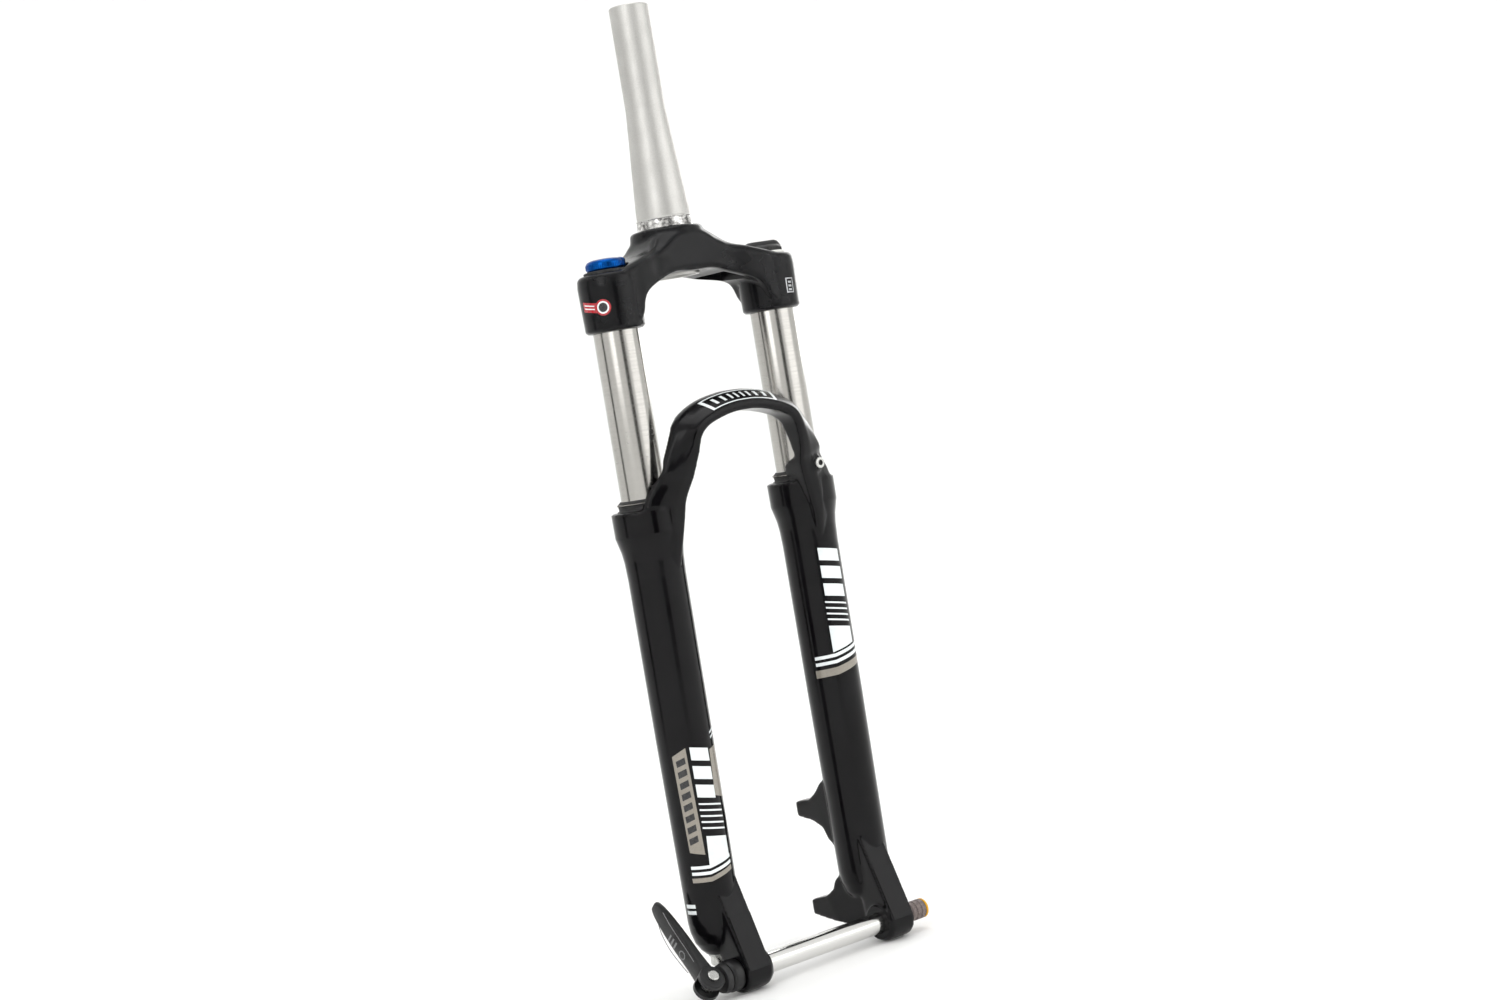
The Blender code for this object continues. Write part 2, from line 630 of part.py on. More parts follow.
def lever_ring(along, outward, thickness, width):
    """Cross-section of the lever's arm, square to its length, with rounded corners."""
    middle = Vector(axle_point(PIN_X)) + along * arm_direction() + Vector((-outward, 0, 0))
    flat, edge = thickness / 2, width / 2
    cut_back = edge - 0.35 * width / 2
    loop = [
        (flat, cut_back), (flat * 0.5, edge), (-flat * 0.5, edge), (-flat, cut_back),
        (-flat, -cut_back), (-flat * 0.5, -edge), (flat * 0.5, -edge), (flat, -cut_back),
    ]
    return [middle + Vector((out, 0, 0)) + across * pin_direction() for out, across in loop]


def make_cam_lever():
    """Cam lever: two round cheeks on the pin and a curved arm, and its pin."""
    centre = axle_point(PIN_X)
    cheek = [(0, 8), (8.2, 8), (9.2, 7), (9.2, -7), (8.2, -8), (0, -8)]
    lever = turned("cam_lever", cheek, "satin_black", centre, pin_direction(), FINE_STEPS)
    arm = [
        lever_ring(3, 0, 12, 15.0), lever_ring(12, 0.5, 9.5, 15.2), lever_ring(22, 1.6, 7.0, 15.4),
        lever_ring(34, 2.6, 5.6, 15.6), lever_ring(46, 2.4, 5.0, 15.4), lever_ring(57, 0.6, 4.6, 14.4),
        lever_ring(66, -2.2, 4.2, 12.4), lever_ring(LEVER_LENGTH, -5.4, 3.2, 8.0),
    ]
    join(lever, [loft("lever_arm", arm)])
    slot = box("lever_slot", (-13, -3.9, -13), (13, 3.9, 5.6))
    across = Vector((-1, 0, 0))
    basis = Matrix((across, pin_direction(), arm_direction())).transposed()
    slot.matrix_world = Matrix.Translation(Vector(centre) * MM) @ basis.to_4x4()
    hole = rod("lever_hole", 2.9, -12, 12, centre=centre, axis=pin_direction(), steps=SMALL_STEPS)
    cut(lever, [slot, hole])
    pin = [
        (0, 10.0), (3.6, 10.0), (4.1, 9.5), (4.1, 8.3), (2.6, 8.3), (2.6, -8.3), (4.1, -8.3),
        (4.1, -9.6), (0, -9.6),
    ]
    turned("cam_pin", pin, "polished_steel", centre, pin_direction(), SMALL_STEPS)


# ---- Assembly -----------------------------------------------------------------------------

def clear_scene():
    """Remove every object that the new scene starts with."""
    for obj in list(bpy.data.objects):
        bpy.data.objects.remove(obj)


def main():
    """Build every piece of the fork."""
    clear_scene()
    make_steerer()
    make_crown()
    for side in (1, -1):
        make_stanchion(side)
        make_leg_fittings(side)
    make_top_cap(1, "white_acetal", bore=4.3)
    make_top_cap(-1, "black_plastic", bore=3.3)
    make_lockout()
    make_damper()
    make_preload()
    make_coil_spring()
    make_spring_foot()
    make_lower_legs()
    make_guide_screw()
    make_axle()
    make_draw_rod()
    make_cam_lever()


main()
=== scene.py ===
"""Looks of a bicycle suspension fork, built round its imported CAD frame.

Sizes are millimetres until a mesh is written, when MM turns them into Blender's metres. The
origin is on the steerer's axis at the crown race, +Z is up, -Y forward and +X the rider's left.
"""

import logging
import math
from collections.abc import Callable, Sequence
from dataclasses import dataclass, field
from enum import Enum

import bmesh
import bpy
import numpy as np
from mathutils import Matrix, Vector
from mathutils.bvhtree import BVHTree


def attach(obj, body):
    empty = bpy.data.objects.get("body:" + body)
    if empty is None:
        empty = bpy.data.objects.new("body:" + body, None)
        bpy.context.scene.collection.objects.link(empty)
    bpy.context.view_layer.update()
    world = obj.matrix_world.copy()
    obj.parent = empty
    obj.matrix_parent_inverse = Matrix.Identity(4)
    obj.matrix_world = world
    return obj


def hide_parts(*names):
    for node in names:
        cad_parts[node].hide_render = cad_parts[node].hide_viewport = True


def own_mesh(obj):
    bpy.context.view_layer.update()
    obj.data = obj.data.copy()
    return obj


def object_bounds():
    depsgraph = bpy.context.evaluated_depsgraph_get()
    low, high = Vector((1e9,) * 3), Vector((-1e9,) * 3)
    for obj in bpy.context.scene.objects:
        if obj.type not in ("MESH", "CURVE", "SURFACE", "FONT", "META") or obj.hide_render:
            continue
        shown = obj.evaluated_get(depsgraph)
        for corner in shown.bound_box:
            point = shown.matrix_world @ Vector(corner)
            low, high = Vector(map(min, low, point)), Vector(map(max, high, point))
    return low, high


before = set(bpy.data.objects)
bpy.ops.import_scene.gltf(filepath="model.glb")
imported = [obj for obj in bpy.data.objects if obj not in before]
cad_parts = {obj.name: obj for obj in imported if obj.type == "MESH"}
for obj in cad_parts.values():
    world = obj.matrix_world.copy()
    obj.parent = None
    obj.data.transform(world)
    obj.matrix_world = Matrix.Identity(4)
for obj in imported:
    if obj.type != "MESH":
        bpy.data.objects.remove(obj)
CAD_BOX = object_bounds()

LOG = logging.getLogger("fork")
MM = 0.001
UP = (0.0, 0.0, 1.0)
ACROSS = (1.0, 0.0, 0.0)
SHARP = math.radians(34)

# Where the legs and the axle are
LEG_X = 71.15
LEG_Y = -17.0
AXLE_Y = -41.0
AXLE_Z = -517.6
ARM_SLOPE = math.radians(47)

Flat = tuple[float, float]
Point = Sequence[float]
Ring = list[Point]


# ---- Nodes and finishes -------------------------------------------------------------------

def linear(colour: str) -> tuple[float, float, float, float]:
    """Turn an sRGB hex colour into linear light.

    Args:
        colour: The colour as six hex digits after a hash.

    Returns:
        Linear red, green and blue, and an alpha of one.
    """
    parts = [int(colour[i:i + 2], 16) / 255 for i in (1, 3, 5)]
    light = [part / 12.92 if part <= 0.04045 else ((part + 0.055) / 1.055) ** 2.4 for part in parts]
    return light[0], light[1], light[2], 1.0


def add(tree: bpy.types.NodeTree, kind: str, inputs: dict | None = None,
        **settings: object) -> bpy.types.Node:
    """Add one node with its settings and links.

    Args:
        tree: The tree that gets the node.
        kind: The node's type name.
        inputs: Socket name or index, with the socket that feeds it or its value.
        **settings: The node's own properties.

    Returns:
        The new node.
    """
    made = tree.nodes.new(kind)
    for name, value in settings.items():
        setattr(made, name, value)
    for socket, value in (inputs or {}).items():
        if isinstance(value, bpy.types.NodeSocket):
            tree.links.new(value, made.inputs[socket])
        else:
            made.inputs[socket].default_value = value
    return made


class Pattern(Enum):
    """How a grain's detail is spread over the surface."""

    CLOUD = "soft drifting patches"
    GRIT = "fine even grit"
    CELLS = "open cells"


@dataclass(frozen=True)
class Grain:
    """One layer of detail in a finish.

    Attributes:
        pattern: How the detail is spread.
        size: Size of one grain in millimetres.
        stretch: How much longer than that it is along each axis.
        relief: Height of the bump in millimetres.
        tint: Share of the second colour where the grain is strongest.
        gloss: How far the roughness swings either way.
    """

    pattern: Pattern
    size: float
    stretch: tuple[float, float, float] = (1.0, 1.0, 1.0)
    relief: float = 0.0
    tint: float = 0.0
    gloss: float = 0.0


@dataclass(frozen=True)
class Finish:
    """A real material with its colour, shine and the grains that show on it."""

    name: str
    colour: str
    second: str
    roughness: float
    metallic: float = 0.0
    coat: float = 0.0
    specular: float = 0.5
    grains: tuple[Grain, ...] = ()

    def _strength(self, tree: bpy.types.NodeTree, place: bpy.types.NodeSocket,
                  grain: Grain) -> bpy.types.NodeSocket:
        """Give one grain's strength from 0 to 1.

        Args:
            tree: The material's tree.
            place: Object coordinates.
            grain: The layer of detail.

        Returns:
            The socket that carries the strength.
        """
        scale = [1 / (grain.size * MM * stretch) for stretch in grain.stretch]
        spot = add(tree, "ShaderNodeMapping", {"Vector": place, "Scale": scale}).outputs["Vector"]
        if grain.pattern is Pattern.CELLS:
            source = add(tree, "ShaderNodeTexVoronoi", {"Vector": spot, "Scale": 1.0}).outputs["Distance"]
            low, high = 0.1, 0.7
        else:
            detail = 3.0 if grain.pattern is Pattern.CLOUD else 1.0
            noise = add(tree, "ShaderNodeTexNoise", {"Vector": spot, "Scale": 1.0, "Detail": detail})
            source = noise.outputs["Factor"] if "Factor" in noise.outputs else noise.outputs[0]
            low, high = 0.32, 0.68
        reach = add(tree, "ShaderNodeMapRange", {"Value": source, "From Min": low, "From Max": high})
        return reach.outputs["Result"]

    def material(self) -> bpy.types.Material:
        """Build the material's nodes on first use.

        Returns:
            The material of this name.
        """
        found = bpy.data.materials.get(self.name)
        if found:
            return found
        made = bpy.data.materials.new(self.name)
        made.use_nodes = True
        tree = made.node_tree
        shader = tree.nodes["Principled BSDF"]
        place = add(tree, "ShaderNodeTexCoord").outputs["Object"]
        tone: bpy.types.NodeSocket | None = None
        shine: bpy.types.NodeSocket | None = None
        bump: bpy.types.NodeSocket | None = None
        for grain in self.grains:
            strength = self._strength(tree, place, grain)
            if grain.tint:
                share = add(tree, "ShaderNodeMath", {0: strength, 1: grain.tint},
                            operation="MULTIPLY").outputs[0]
                start = tone if tone else linear(self.colour)
                mix = add(tree, "ShaderNodeMix", {0: share, 6: start, 7: linear(self.second)},
                          data_type="RGBA")
                tone = mix.outputs[2]
            if grain.gloss:
                swing = {"Value": strength, "To Min": -grain.gloss, "To Max": grain.gloss}
                offset = add(tree, "ShaderNodeMapRange", swing).outputs["Result"]
                base = shine if shine else self.roughness
                shine = add(tree, "ShaderNodeMath", {0: base, 1: offset}, operation="ADD").outputs[0]
            if grain.relief:
                heights = {"Height": strength, "Distance": grain.relief * MM, "Strength": 1.0}
                if bump:
                    heights["Normal"] = bump
                bump = add(tree, "ShaderNodeBump", heights).outputs["Normal"]
        shader.inputs["Base Color"].default_value = linear(self.colour)
        shader.inputs["Roughness"].default_value = self.roughness
        shader.inputs["Metallic"].default_value = self.metallic
        shader.inputs["Specular IOR Level"].default_value = self.specular
        shader.inputs["Coat Weight"].default_value = self.coat
        shader.inputs["Coat Roughness"].default_value = 0.06
        for name, source in (("Base Color", tone), ("Roughness", shine), ("Normal", bump)):
            if source:
                tree.links.new(source, shader.inputs[name])
        return made


CLOUD, GRIT, CELLS = Pattern.CLOUD, Pattern.GRIT, Pattern.CELLS

# Stoved gloss enamel on a magnesium casting: deep black under a clear layer, with faint orange peel
GLOSS_ENAMEL = Finish("stoved_gloss_enamel_on_magnesium", "#080709", "#121214", 0.17, specular=0.18, grains=(
    Grain(CLOUD, 3.2, relief=0.005), Grain(CLOUD, 26.0, tint=0.5, gloss=0.03),
    Grain(GRIT, 0.6, relief=0.001)))
# The same enamel on the forged crown, a little flatter, so its highlights are broader
CROWN_ENAMEL = Finish("stoved_enamel_on_forged_aluminium", "#0b0b0d", "#161618", 0.22, specular=0.18, grains=(
    Grain(CLOUD, 4.0, relief=0.005), Grain(CLOUD, 18.0, tint=0.6, gloss=0.04),
    Grain(GRIT, 0.7, relief=0.0015)))
# Bead-blasted aluminium tube: even grey-white sheen, with grit that softens every reflection
BLASTED_ALUMINIUM = Finish("bead_blasted_aluminium", "#c6c5c2", "#b2b1ae", 0.46, 1.0, grains=(
    Grain(GRIT, 0.55, relief=0.012, tint=0.5, gloss=0.05), Grain(CLOUD, 22.0, tint=0.35, gloss=0.04)))
# Turned race seat, scuffed by handling: bright metal broken by dark smears
SCUFFED_SEAT = Finish("scuffed_turned_aluminium", "#e9e8e6", "#4c4a49", 0.26, 1.0, grains=(
    Grain(CLOUD, 3.4, (1.0, 1.0, 0.7), tint=0.95, gloss=0.1), Grain(GRIT, 0.3, (12, 12, 1), relief=0.01)))
# Ground and polished steel tube: fine hoops from the grinding belt draw out each reflection
POLISHED_STEEL = Finish("ground_and_polished_steel", "#b8b6b2", "#a09e9a", 0.2, 1.0, grains=(
    Grain(GRIT, 0.5, (60, 60, 1.0), relief=0.0012, tint=0.35, gloss=0.05),
    Grain(CLOUD, 9.0, (1.0, 1.0, 9.0), tint=0.5, gloss=0.04)))
# Bright drawn steel of the axle: streaks run along it
BRIGHT_AXLE = Finish("bright_drawn_steel", "#e2e1df", "#c9c8c6", 0.16, 1.0, grains=(
    Grain(GRIT, 0.5, (50, 1.0, 1.0), relief=0.001, gloss=0.05), Grain(CLOUD, 12.0, (6, 1, 1), tint=0.4)))
# Zinc-plated screw steel: slightly milky
PLATED_STEEL = Finish("zinc_plated_steel", "#c2c2bf", "#a3a3a0", 0.26, 1.0, grains=(
    Grain(CLOUD, 1.8, relief=0.006, tint=0.5, gloss=0.08), Grain(GRIT, 0.3, relief=0.002)))
# Machined aluminium out of sight: dull, with cutter rings
MACHINED_ALUMINIUM = Finish("machined_aluminium", "#b7b7b5", "#9b9b99", 0.38, 1.0, grains=(
    Grain(GRIT, 0.6, (40, 40, 1.0), relief=0.006, gloss=0.08), Grain(CLOUD, 7.0, tint=0.5)))
# Blue anodised aluminium: the dye sits in the oxide, so the metal glows through it
BLUE_ANODISED = Finish("blue_anodised_aluminium", "#0b4f9c", "#052f66", 0.27, 1.0, grains=(
    Grain(GRIT, 0.4, relief=0.004, gloss=0.05), Grain(CLOUD, 6.0, tint=0.5, gloss=0.04)))
# Moulded black nylon: fine spark-eroded texture from the tool
MOULDED_NYLON = Finish("moulded_black_nylon", "#141415", "#222223", 0.48, grains=(
    Grain(GRIT, 0.5, relief=0.02, gloss=0.08), Grain(CLOUD, 5.0, tint=0.6)))
# White acetal: waxy, with a trace of grey where it has been handled
WHITE_ACETAL = Finish("white_acetal", "#dcdbd5", "#b9b8b1", 0.42, grains=(
    Grain(CLOUD, 4.0, tint=0.5, gloss=0.06), Grain(GRIT, 0.4, relief=0.004)))
# Satin powder coat of the lever: black with a soft pebble
LEVER_COAT = Finish("satin_powder_coat", "#0f0f10", "#202021", 0.36, specular=0.35, grains=(
    Grain(CLOUD, 1.3, relief=0.02, gloss=0.05), Grain(CLOUD, 9.0, tint=0.6)))
# Bare metal that shows where the lever's coat has been cut through
CUT_EDGE = Finish("bright_cut_aluminium", "#8f8f90", "#6e6e70", 0.3, 1.0, grains=(
    Grain(GRIT, 0.4, relief=0.004, tint=0.6, gloss=0.08), Grain(CLOUD, 3.0, tint=0.4)))
# Nitrile rubber of the wiper seals: matt, faintly dusty; the same dark finish is also painted inside the hose
# guide screw's socket as painted shade
NITRILE_AND_SOCKET_SHADE = Finish("nitrile_rubber_and_painted_socket_shade", "#161617", "#2a2a2a", 0.62, grains=(
    Grain(GRIT, 0.4, relief=0.012, gloss=0.06), Grain(CLOUD, 4.0, tint=0.6)))
# Oil-tempered spring wire: blue-grey and dull
SPRING_WIRE = Finish("oil_tempered_spring_wire", "#6a6c70", "#4a4b4f", 0.42, 1.0, grains=(
    Grain(CLOUD, 3.0, tint=0.6, gloss=0.08), Grain(GRIT, 0.4, relief=0.004)))
# Filled polymer bearing bush
BUSH_POLYMER = Finish("filled_polymer_bush", "#7f8a80", "#5e6a62", 0.5, grains=(
    Grain(GRIT, 0.5, relief=0.01, tint=0.7, gloss=0.06),))
# Oil-soaked foam: open cells in ochre
OILED_FOAM = Finish("oiled_open_cell_foam", "#8b8152", "#4b4527", 0.85, grains=(
    Grain(CELLS, 0.9, relief=0.25, tint=0.9, gloss=0.08),))
# Grey-brown conversion coat on the spreading collar: matt with a violet cast
COLLAR_COAT = Finish("grey_brown_conversion_coat", "#7b6f6b", "#5a5152", 0.5, 0.4, grains=(
    Grain(CLOUD, 2.2, tint=0.7, gloss=0.08), Grain(GRIT, 0.4, relief=0.01)))
# Yellow acetal end ring
YELLOW_ACETAL = Finish("yellow_acetal", "#e2a711", "#b67f06", 0.4, grains=(
    Grain(CLOUD, 2.0, tint=0.5, gloss=0.06),))
# Printed films under the clear coat: white, taupe, red and black inks with a slight tooth
WHITE_FILM = Finish("white_printed_film", "#eef3f4", "#d5dcde", 0.26, coat=0.4, grains=(
    Grain(CLOUD, 5.0, tint=0.5, gloss=0.04), Grain(GRIT, 0.4, relief=0.001)))
TAUPE_FILM = Finish("taupe_printed_film", "#9a948a", "#7f796f", 0.3, 0.25, coat=0.4, grains=(
    Grain(GRIT, 0.35, tint=0.6, gloss=0.05), Grain(CLOUD, 8.0, tint=0.3)))
RED_FILM = Finish("red_printed_film", "#b3202b", "#8a131d", 0.28, coat=0.4, grains=(
    Grain(CLOUD, 2.0, tint=0.5, gloss=0.04),))
BLACK_FILM = Finish("black_printed_film", "#0d0d10", "#1c1c20", 0.28, coat=0.4, grains=(
    Grain(CLOUD, 2.0, tint=0.5, gloss=0.04),))
SILVER_FILM = Finish("silver_foil_film", "#b9bbbd", "#8d8f92", 0.3, 0.9, grains=(
    Grain(CLOUD, 2.0, tint=0.5, gloss=0.06),))
# Painted studio floor: almost white, with the roller's faint texture
STUDIO_PAINT = Finish("studio_floor_paint", "#fbfbfa", "#f8f8f7", 0.75, grains=(
    Grain(CLOUD, 400.0, tint=0.6, gloss=0.03),))
# Black cloth flag that puts the dark bands into the metal
FLAG_CLOTH = Finish("black_flag_cloth", "#060606", "#0b0b0b", 0.9, grains=(
    Grain(GRIT, 3.0, tint=0.6, gloss=0.03),))


# ---- Mesh tools -----------------------------------------------------------------------------

def finish_mesh(name: str, work: bmesh.types.BMesh) -> bpy.types.Object:
    """Weld a mesh, turn its faces outwards, smooth it and link it.

    Args:
        name: The object's name.
        work: The mesh in metres, which is freed.

    Returns:
        The linked object at the origin.
    """
    bmesh.ops.remove_doubles(work, verts=work.verts, dist=1e-6)
    bmesh.ops.recalc_face_normals(work, faces=work.faces)
    mesh = bpy.data.meshes.new(name)
    work.to_mesh(mesh)
    work.free()
    return linked(name, mesh)


def linked(name: str, mesh: bpy.types.Mesh) -> bpy.types.Object:
    """Put a mesh in the scene with smooth faces and sharp corners."""
    mesh.shade_smooth()
    mesh.set_sharp_from_angle(angle=SHARP)
    made = bpy.data.objects.new(name, mesh)
    bpy.context.scene.collection.objects.link(made)
    return made


def frozen(body: bpy.types.Object) -> bpy.types.Object:
    """Replace an object's mesh with what its modifiers make, and drop the modifiers.

    Args:
        body: The object with live modifiers.

    Returns:
        The same object.
    """
    bpy.context.view_layer.update()
    graph = bpy.context.evaluated_depsgraph_get()
    mesh = bpy.data.meshes.new_from_object(body.evaluated_get(graph))
    body.modifiers.clear()
    old = body.data
    body.data = mesh
    if isinstance(old, bpy.types.Mesh):
        bpy.data.meshes.remove(old)
    mesh.shade_smooth()
    mesh.set_sharp_from_angle(angle=SHARP)
    return body


def merged(name: str, parts: Sequence[bpy.types.Object]) -> bpy.types.Object:
    """Put several meshes into one object and remove the originals.

    Args:
        name: The new object's name.
        parts: Mesh objects at the origin.

    Returns:
        The joined object, with its parts' materials kept.
    """
    finishes: list[bpy.types.Material] = []
    work = bmesh.new()
    for part in parts:
        start = len(work.faces)
        work.from_mesh(part.data)
        work.faces.ensure_lookup_table()
        own = list(part.data.materials)
        for material in own:
            if material not in finishes:
                finishes.append(material)
        for face in work.faces[start:]:
            if own:
                face.material_index = finishes.index(own[min(face.material_index, len(own) - 1)])
    mesh = bpy.data.meshes.new(name)
    work.to_mesh(mesh)
    work.free()
    for material in finishes:
        mesh.materials.append(material)
    for part in parts:
        bpy.data.objects.remove(part)
    return linked(name, mesh)


def eased(profile: Sequence[Flat], ease: float, closed: bool = False) -> list[Flat]:
    """Round every corner of a line with a short curve.

    Args:
        profile: Corner points in millimetres.
        ease: How far from each corner the curve starts.
        closed: Whether the line returns to its start.

    Returns:
        The line with each corner as four points.
    """
    points = [Vector(point) for point in profile]
    line: list[Flat] = []
    for i, corner in enumerate(points):
        if not closed and i in (0, len(points) - 1):
            line.append((corner.x, corner.y))
            continue
        before, after = points[i - 1], points[(i + 1) % len(points)]
        start = corner.lerp(before, min(0.45, ease / max((before - corner).length, 1e-6)))
        end = corner.lerp(after, min(0.45, ease / max((after - corner).length, 1e-6)))
        for t in (0.0, 0.33, 0.67, 1.0):
            spot = start.lerp(corner, t).lerp(corner.lerp(end, t), t)
            line.append((spot.x, spot.y))
    return line


def lathe(name: str, profile: Sequence[Flat], centre: Point, axis: Point = UP, segments: int = 96,
          ring: bool = False, ease: float = 0.0) -> bpy.types.Object:
    """Turn a profile about an axis into a closed body.

    Args:
        name: The object's name.
        profile: (radius, height) points in millimetres.
        centre: A point on the axis at height zero.
        axis: The axis's direction.
        segments: Number of facets round it.
        ring: Whether the profile closes on itself away from the axis.
        ease: How far each corner is rounded.

    Returns:
        The turned object.
    """
    line = eased(profile, ease, ring) if ease else list(profile)
    turn = Vector(UP).rotation_difference(Vector(axis)).to_matrix()
    work = bmesh.new()
    hoops = []
    for radius, height in line:
        count = segments if radius > 1e-6 else 1
        hoop = []
        for i in range(count):
            angle = math.tau * i / segments
            spot = turn @ Vector((radius * math.cos(angle), radius * math.sin(angle), height))
            hoop.append(work.verts.new((spot + Vector(centre)) * MM))
        hoops.append(hoop)
    pairs = list(zip(hoops, hoops[1:]))
    if ring:
        pairs.append((hoops[-1], hoops[0]))
    for low, high in pairs:
        for i in range(segments):
            j = (i + 1) % segments
            corners = (low[i % len(low)], low[j % len(low)], high[j % len(high)], high[i % len(high)])
            unique = list(dict.fromkeys(corners))
            if len(unique) > 2:
                work.faces.new(unique)
    return finish_mesh(name, work)


def bar(name: str, radius: float, high: float, low: float, centre: Point, axis: Point = UP,
        segments: int = 96, ease: float = 0.0) -> bpy.types.Object:
    """Turn a plain round bar between two heights on an axis."""
    profile = [(0, high), (radius, high), (radius, low), (0, low)]
    return lathe(name, profile, centre, axis, segments, ease=ease)


def round_ring(middle: Vector, radius: float, first: Vector, second: Vector, steps: int) -> Ring:
    """Give a circle of points in the plane of two directions."""
    turns = [math.tau * k / steps for k in range(steps)]
    return [middle + radius * (math.cos(turn) * first + math.sin(turn) * second) for turn in turns]


def skin(name: str, rings: Sequence[Ring]) -> bpy.types.Object:
    """Skin a row of rings and close both ends.

    Args:
        name: The object's name.
        rings: Rings with equal numbers of points, in millimetres.

    Returns:
        The closed object.
    """
    work = bmesh.new()
    loops = [[work.verts.new(Vector(point) * MM) for point in ring] for ring in rings]
    count = len(rings[0])
    for near, far in zip(loops, loops[1:]):
        for i in range(count):
            j = (i + 1) % count
            work.faces.new((near[i], near[j], far[j], far[i]))
    for loop in (loops[0], loops[-1]):
        work.faces.new(loop)
    return finish_mesh(name, work)


def flowing(stations: Sequence[Ring], steps: int) -> list[Ring]:
    """Run smooth curves through the matching points of a row of rings.

    Args:
        stations: Rings with equal numbers of points.
        steps: How many rings to make from one station to the next.

    Returns:
        The finer row of rings.
    """
    rings = []
    last = len(stations) - 1
    for i in range(last):
        four = [stations[max(i - 1, 0)], stations[i], stations[i + 1], stations[min(i + 2, last)]]
        for step in range(steps):
            t = step / steps
            ring = []
            for points in zip(*four):
                a, b, c, d = (Vector(point) for point in points)
                bend = (2 * a - 5 * b + 4 * c - d) * t * t + (3 * b - a - 3 * c + d) * t ** 3
                ring.append(0.5 * (2 * b + (c - a) * t + bend))
            rings.append(ring)
    rings.append([Vector(point) for point in stations[last]])
    return rings


def slab(name: str, outline: Sequence[Flat], low: float, high: float, ease: float = 0.0) -> bpy.types.Object:
    """Stretch a (y, z) outline along X.

    Args:
        name: The object's name.
        outline: Corner points in millimetres.
        low: The x where the slab starts.
        high: The x where it ends.
        ease: How far each corner of the outline is rounded.

    Returns:
        The closed slab.
    """
    line = eased(outline, ease, True) if ease else outline
    return skin(name, [[(x, y, z) for y, z in line] for x in (low, high)])


def carved(body: bpy.types.Object, tools: Sequence[bpy.types.Object],
           add_on: bool = False) -> bpy.types.Object:
    """Cut tools out of a body, or join them to it, with crisp edges.

    Args:
        body: The body to change.
        tools: Closed objects, which are removed.
        add_on: Whether the tools are joined instead of cut.

    Returns:
        The changed body.
    """
    group = bpy.data.collections.new(body.name + "_tools")
    bpy.context.scene.collection.children.link(group)
    for tool in tools:
        bpy.context.scene.collection.objects.unlink(tool)
        group.objects.link(tool)
    change = body.modifiers.new("carve", "BOOLEAN")
    change.operation = "UNION" if add_on else "DIFFERENCE"
    change.solver = "EXACT"
    change.operand_type = "COLLECTION"
    change.collection = group
    frozen(body)
    for tool in tools:
        bpy.data.objects.remove(tool)
    bpy.data.collections.remove(group)
    return body


def cast(name: str, shells: Sequence[bpy.types.Object], grain: float, passes: int) -> bpy.types.Object:
    """Melt overlapping bodies into one casting with flowing fillets.

    Args:
        name: The casting's name.
        shells: Closed bodies that overlap.
        grain: Spacing of the casting's points in millimetres.
        passes: How many times the surface is relaxed.

    Returns:
        The casting.
    """
    body = merged(name, shells)
    melt = body.modifiers.new("melt", "REMESH")
    melt.mode = "VOXEL"
    melt.voxel_size = grain * MM
    relax = body.modifiers.new("relax", "SMOOTH")
    relax.factor = 0.5
    relax.iterations = passes
    return frozen(body)


def trued(body: bpy.types.Object, centre: Flat, profile: Sequence[Flat], reach: float) -> None:
    """Bring a casting's round parts back onto their exact radius.

    Args:
        body: The casting.
        centre: The axis's (x, y) in millimetres.
        profile: (radius, z) points from high to low.
        reach: How far off a point may be and still belong to the round part.
    """
    count = len(body.data.vertices)
    spots = np.empty(count * 3)
    body.data.vertices.foreach_get("co", spots)
    spots = spots.reshape(-1, 3) / MM
    side = spots[:, :2] - np.array(centre)
    radius = np.hypot(side[:, 0], side[:, 1])
    heights = np.array([z for _, z in reversed(profile)])
    wanted = np.interp(spots[:, 2], heights, np.array([r for r, _ in reversed(profile)]))
    share = np.clip((reach - np.abs(radius - wanted)) / (0.5 * reach), 0, 1)
    share[(spots[:, 2] < heights[0]) | (spots[:, 2] > heights[-1])] = 0
    scale = 1 + share * (wanted / np.maximum(radius, 1e-6) - 1)
    spots[:, :2] = np.array(centre) + side * scale[:, None]
    body.data.vertices.foreach_set("co", (spots * MM).ravel())
    body.data.update()


def dressed(piece: bpy.types.Object, finish: Finish) -> bpy.types.Object:
    """Give a whole piece one finish."""
    piece.data.materials.clear()
    piece.data.materials.append(finish.material())
    return piece


def coated(piece: bpy.types.Object, finish: Finish, belongs: Callable[[Vector], bool]) -> None:
    """Give a second finish to some of a dressed piece's faces.

    Args:
        piece: The dressed piece.
        finish: The second finish.
        belongs: Says from a face's middle, in millimetres, whether the face gets it.
    """
    piece.data.materials.append(finish.material())
    for face in piece.data.polygons:
        if belongs(face.center / MM):
            face.material_index = 1


def placed(piece: bpy.types.Object, body: str,
           stands_for: Sequence[str] = ()) -> bpy.types.Object:
    """Tie a finished piece to the frame.

    Args:
        piece: The finished piece.
        body: The CAD body that it moves with.
        stands_for: CAD nodes that the piece replaces.

    Returns:
        The same piece.
    """
    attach(piece, body)
    if stands_for:
        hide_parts(*stands_for)
    LOG.info("%s: %d faces on %s", piece.name, len(piece.data.polygons), body)
    return piece


def leg(side: int) -> tuple[float, float, float]:
    """Give the point of a leg's axis at height zero."""
    return side * LEG_X, LEG_Y, 0.0


def span(side: int, near: float, far: float) -> list[float]:
    """Give the low and high x of a stretch on one side of the fork."""
    return sorted((side * near, side * far))


def side_name(side: int) -> str:
    """Name a leg by the rider's side."""
    return "left" if side > 0 else "right"


def mirrored(side: int, ring: Ring) -> Ring:
    """Give a ring on the rider's left, or its mirror image on the right."""
    return [(side * x, y, z) for x, y, z in ring]


# ---- What repeats ---------------------------------------------------------------------------

